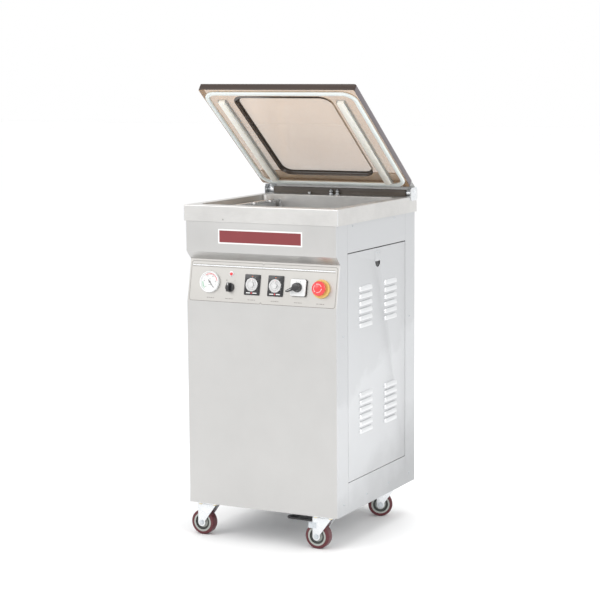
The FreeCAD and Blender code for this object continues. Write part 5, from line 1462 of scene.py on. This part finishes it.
def wheelProfile(h):
    # the tread, then the light ring, the dark web and the hub down to the bore, on both sides
    tread = [(28.4, h - 0.6, 1), (29.2, h), (33.5, h), (35.2, h - 0.5), (36.6, h - 1.7), (37.35, h - 4.0),
             (37.5, h - 7)]
    web = [(23.6, h - 0.1), (22.8, h - 1.2), (22.2, h - 4.6), (16, h - 5.0), (12.0, h - 4.8), (10.2, h - 3.0),
           (9.0, h - 0.6), (8.2, h - 0.1), (4.15, h - 0.1)]
    nearTones, farTones = (3, 3, 3, 3, 2, 2, 2, 1, 1), (1, 2, 2, 3, 3, 3, 3, 3, 3)
    profile = [(r, -z, *tone) for r, z, *tone in tread] + tread[::-1] + [(27.6, h - 0.1, 1)]
    profile += [(r, z, tone) for (r, z), tone in zip(web, farTones)]
    profile += [(r, -z, tone) for (r, z), tone in zip(web[::-1], nearTones)]
    return profile + [(27.6, 0.1 - h, 1)]


brake = jointAt("brake_press")
for corner in corners:
    place, swivel, along = casterFrame(corner)
    bm = bmesh.new()
    addFork(bm, s, place)
    pieces = [soften(makeObject("forkCheeks_" + corner, bm, ["brightZinc"]), 0.7, 3, 40)]
    bm = bmesh.new()
    for side in (-1, 1):
        spot = at(place, (s["trail"], side * 18.0, s["wheel"]), (0, side, 0))
        addLathe(bm, [(7.6, 0), (7.6, 0.9), (0, 0.9)], spot, 32)
        addNut(bm, 6.0, 0.8, 3.6, 3.4, spot)
    axlePlace = at(place, (s["trail"], 0, s["wheel"]), (0, 1, 0))
    addPin(bm, 3.9, -s["wide"], s["wide"], axlePlace)
    pieces.append(makeObject("axle_" + corner, bm, ["zinc"]))
    if corner == "front_right":
        bm = bmesh.new()
        addBrakeLugs(bm, place, (brake - swivel).dot(along), brake.z)
        pieces.append(makeObject("brakePin", bm, ["zinc"]))
    fit(join("casterForkShown_" + corner, pieces), "fork_" + corner, "plated_steel", "caster_fork_" + corner)
    bm = bmesh.new()
    addLathe(bm, wheelProfile(s["wheelHalf"]), axlePlace, 72, True)
    fit(makeObject("casterWheelShown_" + corner, bm, ["urethane", "hubGrey", "hubDark", "hubGrey"], 35),
        "wheel_" + corner, "wheel_maroon", "caster_wheel_" + corner)

pedalSizes = {"arm": (-2, 31), "armHalf": 12.9, "thick": 2.9, "ribs": 6, "ribStep": 4.6, "ribBack": 34}
s = pedalSizes
place, swivel, along = casterFrame("front_right")
ahead, z, half = (brake - swivel).dot(along), brake.z, s["armHalf"]
reach = localBox("brake_pedal", place)[1].x
x0, x1 = ahead + s["arm"][0], ahead + s["arm"][1]
bm = bmesh.new()
addPrism(bm, [(x0, -half), (x1, -half), (x1, half), (x0, half)], z - 1.9, z + s["thick"], place)
side = [(ahead + 29, 13.6), (ahead + 40, 16.4), (reach - 22, 16.9), (reach - 8, 14.6), (reach - 1.5, 8.5)]
pad = [(x, -y) for x, y in side] + [(reach - 0.1, 0)] + side[::-1]
addPrism(bm, pad, z - s["thick"], z + s["thick"] + 0.05, place)
addLathe(bm, [(2.6, -half), (3.95, -half), (3.95, half), (2.6, half)], at(place, (ahead, 0, z), (0, 1, 0)), 28, True)
pedal = soften(makeObject("pedalShape", bm, ["blackPlastic"]), 1.0, 3)
bm = bmesh.new()
addBox(bm, (-0.8, -11, 0), (0.8, 11, 0.9), place.to_3x3().normalized().to_4x4() @ world)
ribs = rowOf("pedalRibs", makeObject("pedalRib", bm, ["blackPlastic"]), s["ribs"], along * s["ribStep"] * mm,
             place @ Vector((reach - s["ribBack"], 0, z + 2.85)), "blackPlastic")
bm = bmesh.new()
addScrew(bm, 3.2, 1.6, place @ Matrix.Translation((ahead + 20, 0, z + 2.85)))
screw = makeObject("pedalScrew", bm, ["brightZinc", "darkInk"])
fit(join("brakePedalShown", [pedal, ribs, screw]), "pedal", "black_plastic", "brake_pedal")

print("stage: pieces that keep the CAD node's shape, with softened edges")
# name, node, finish, edge in mm, body, slot
softened = [
    ("rearCoverSheet", "rear_cover", "sideSteel", 0.4, "cabinet", "panel_steel"),
    ("latchTongueShown", "latch_tongue", "blackPlastic", 0.4, "latch", "plated_steel"),
    ("lidBushesShown", "lid_bushes", "brightZinc", 0.7, "lid", "plated_steel"),
    ("hingeBeamShown", "hinge_beam", "beamBronze", 0.8, "cabinet", "dark_steel"),
    ("sealBarShown_left", "seal_bar_left", "aluminium", 0.6, "left_bar", "aluminium"),
    ("sealBarShown_right", "seal_bar_right", "aluminium", 0.6, "right_bar", "aluminium"),
    ("vacuum_pumpShown", "vacuum_pump", "castGrey", 1.2, "cabinet", "cast_iron"),
    ("pump_motorShown", "pump_motor", "castGrey", 0.6, "cabinet", "cast_iron"),
    ("valve_blockShown", "valve_block", "brass", 0.5, "cabinet", "brass"),
    ("transformerShown", "transformer", "castGrey", 0.8, "cabinet", "cast_iron"),
    ("electrical_panelShown", "electrical_panel", "whitePlastic", 0.8, "cabinet", "plated_steel"),
]
for name, node, tone, edge, body, slot in softened:
    fit(cadCopy(name, node, [tone], edge), body, slot, node)
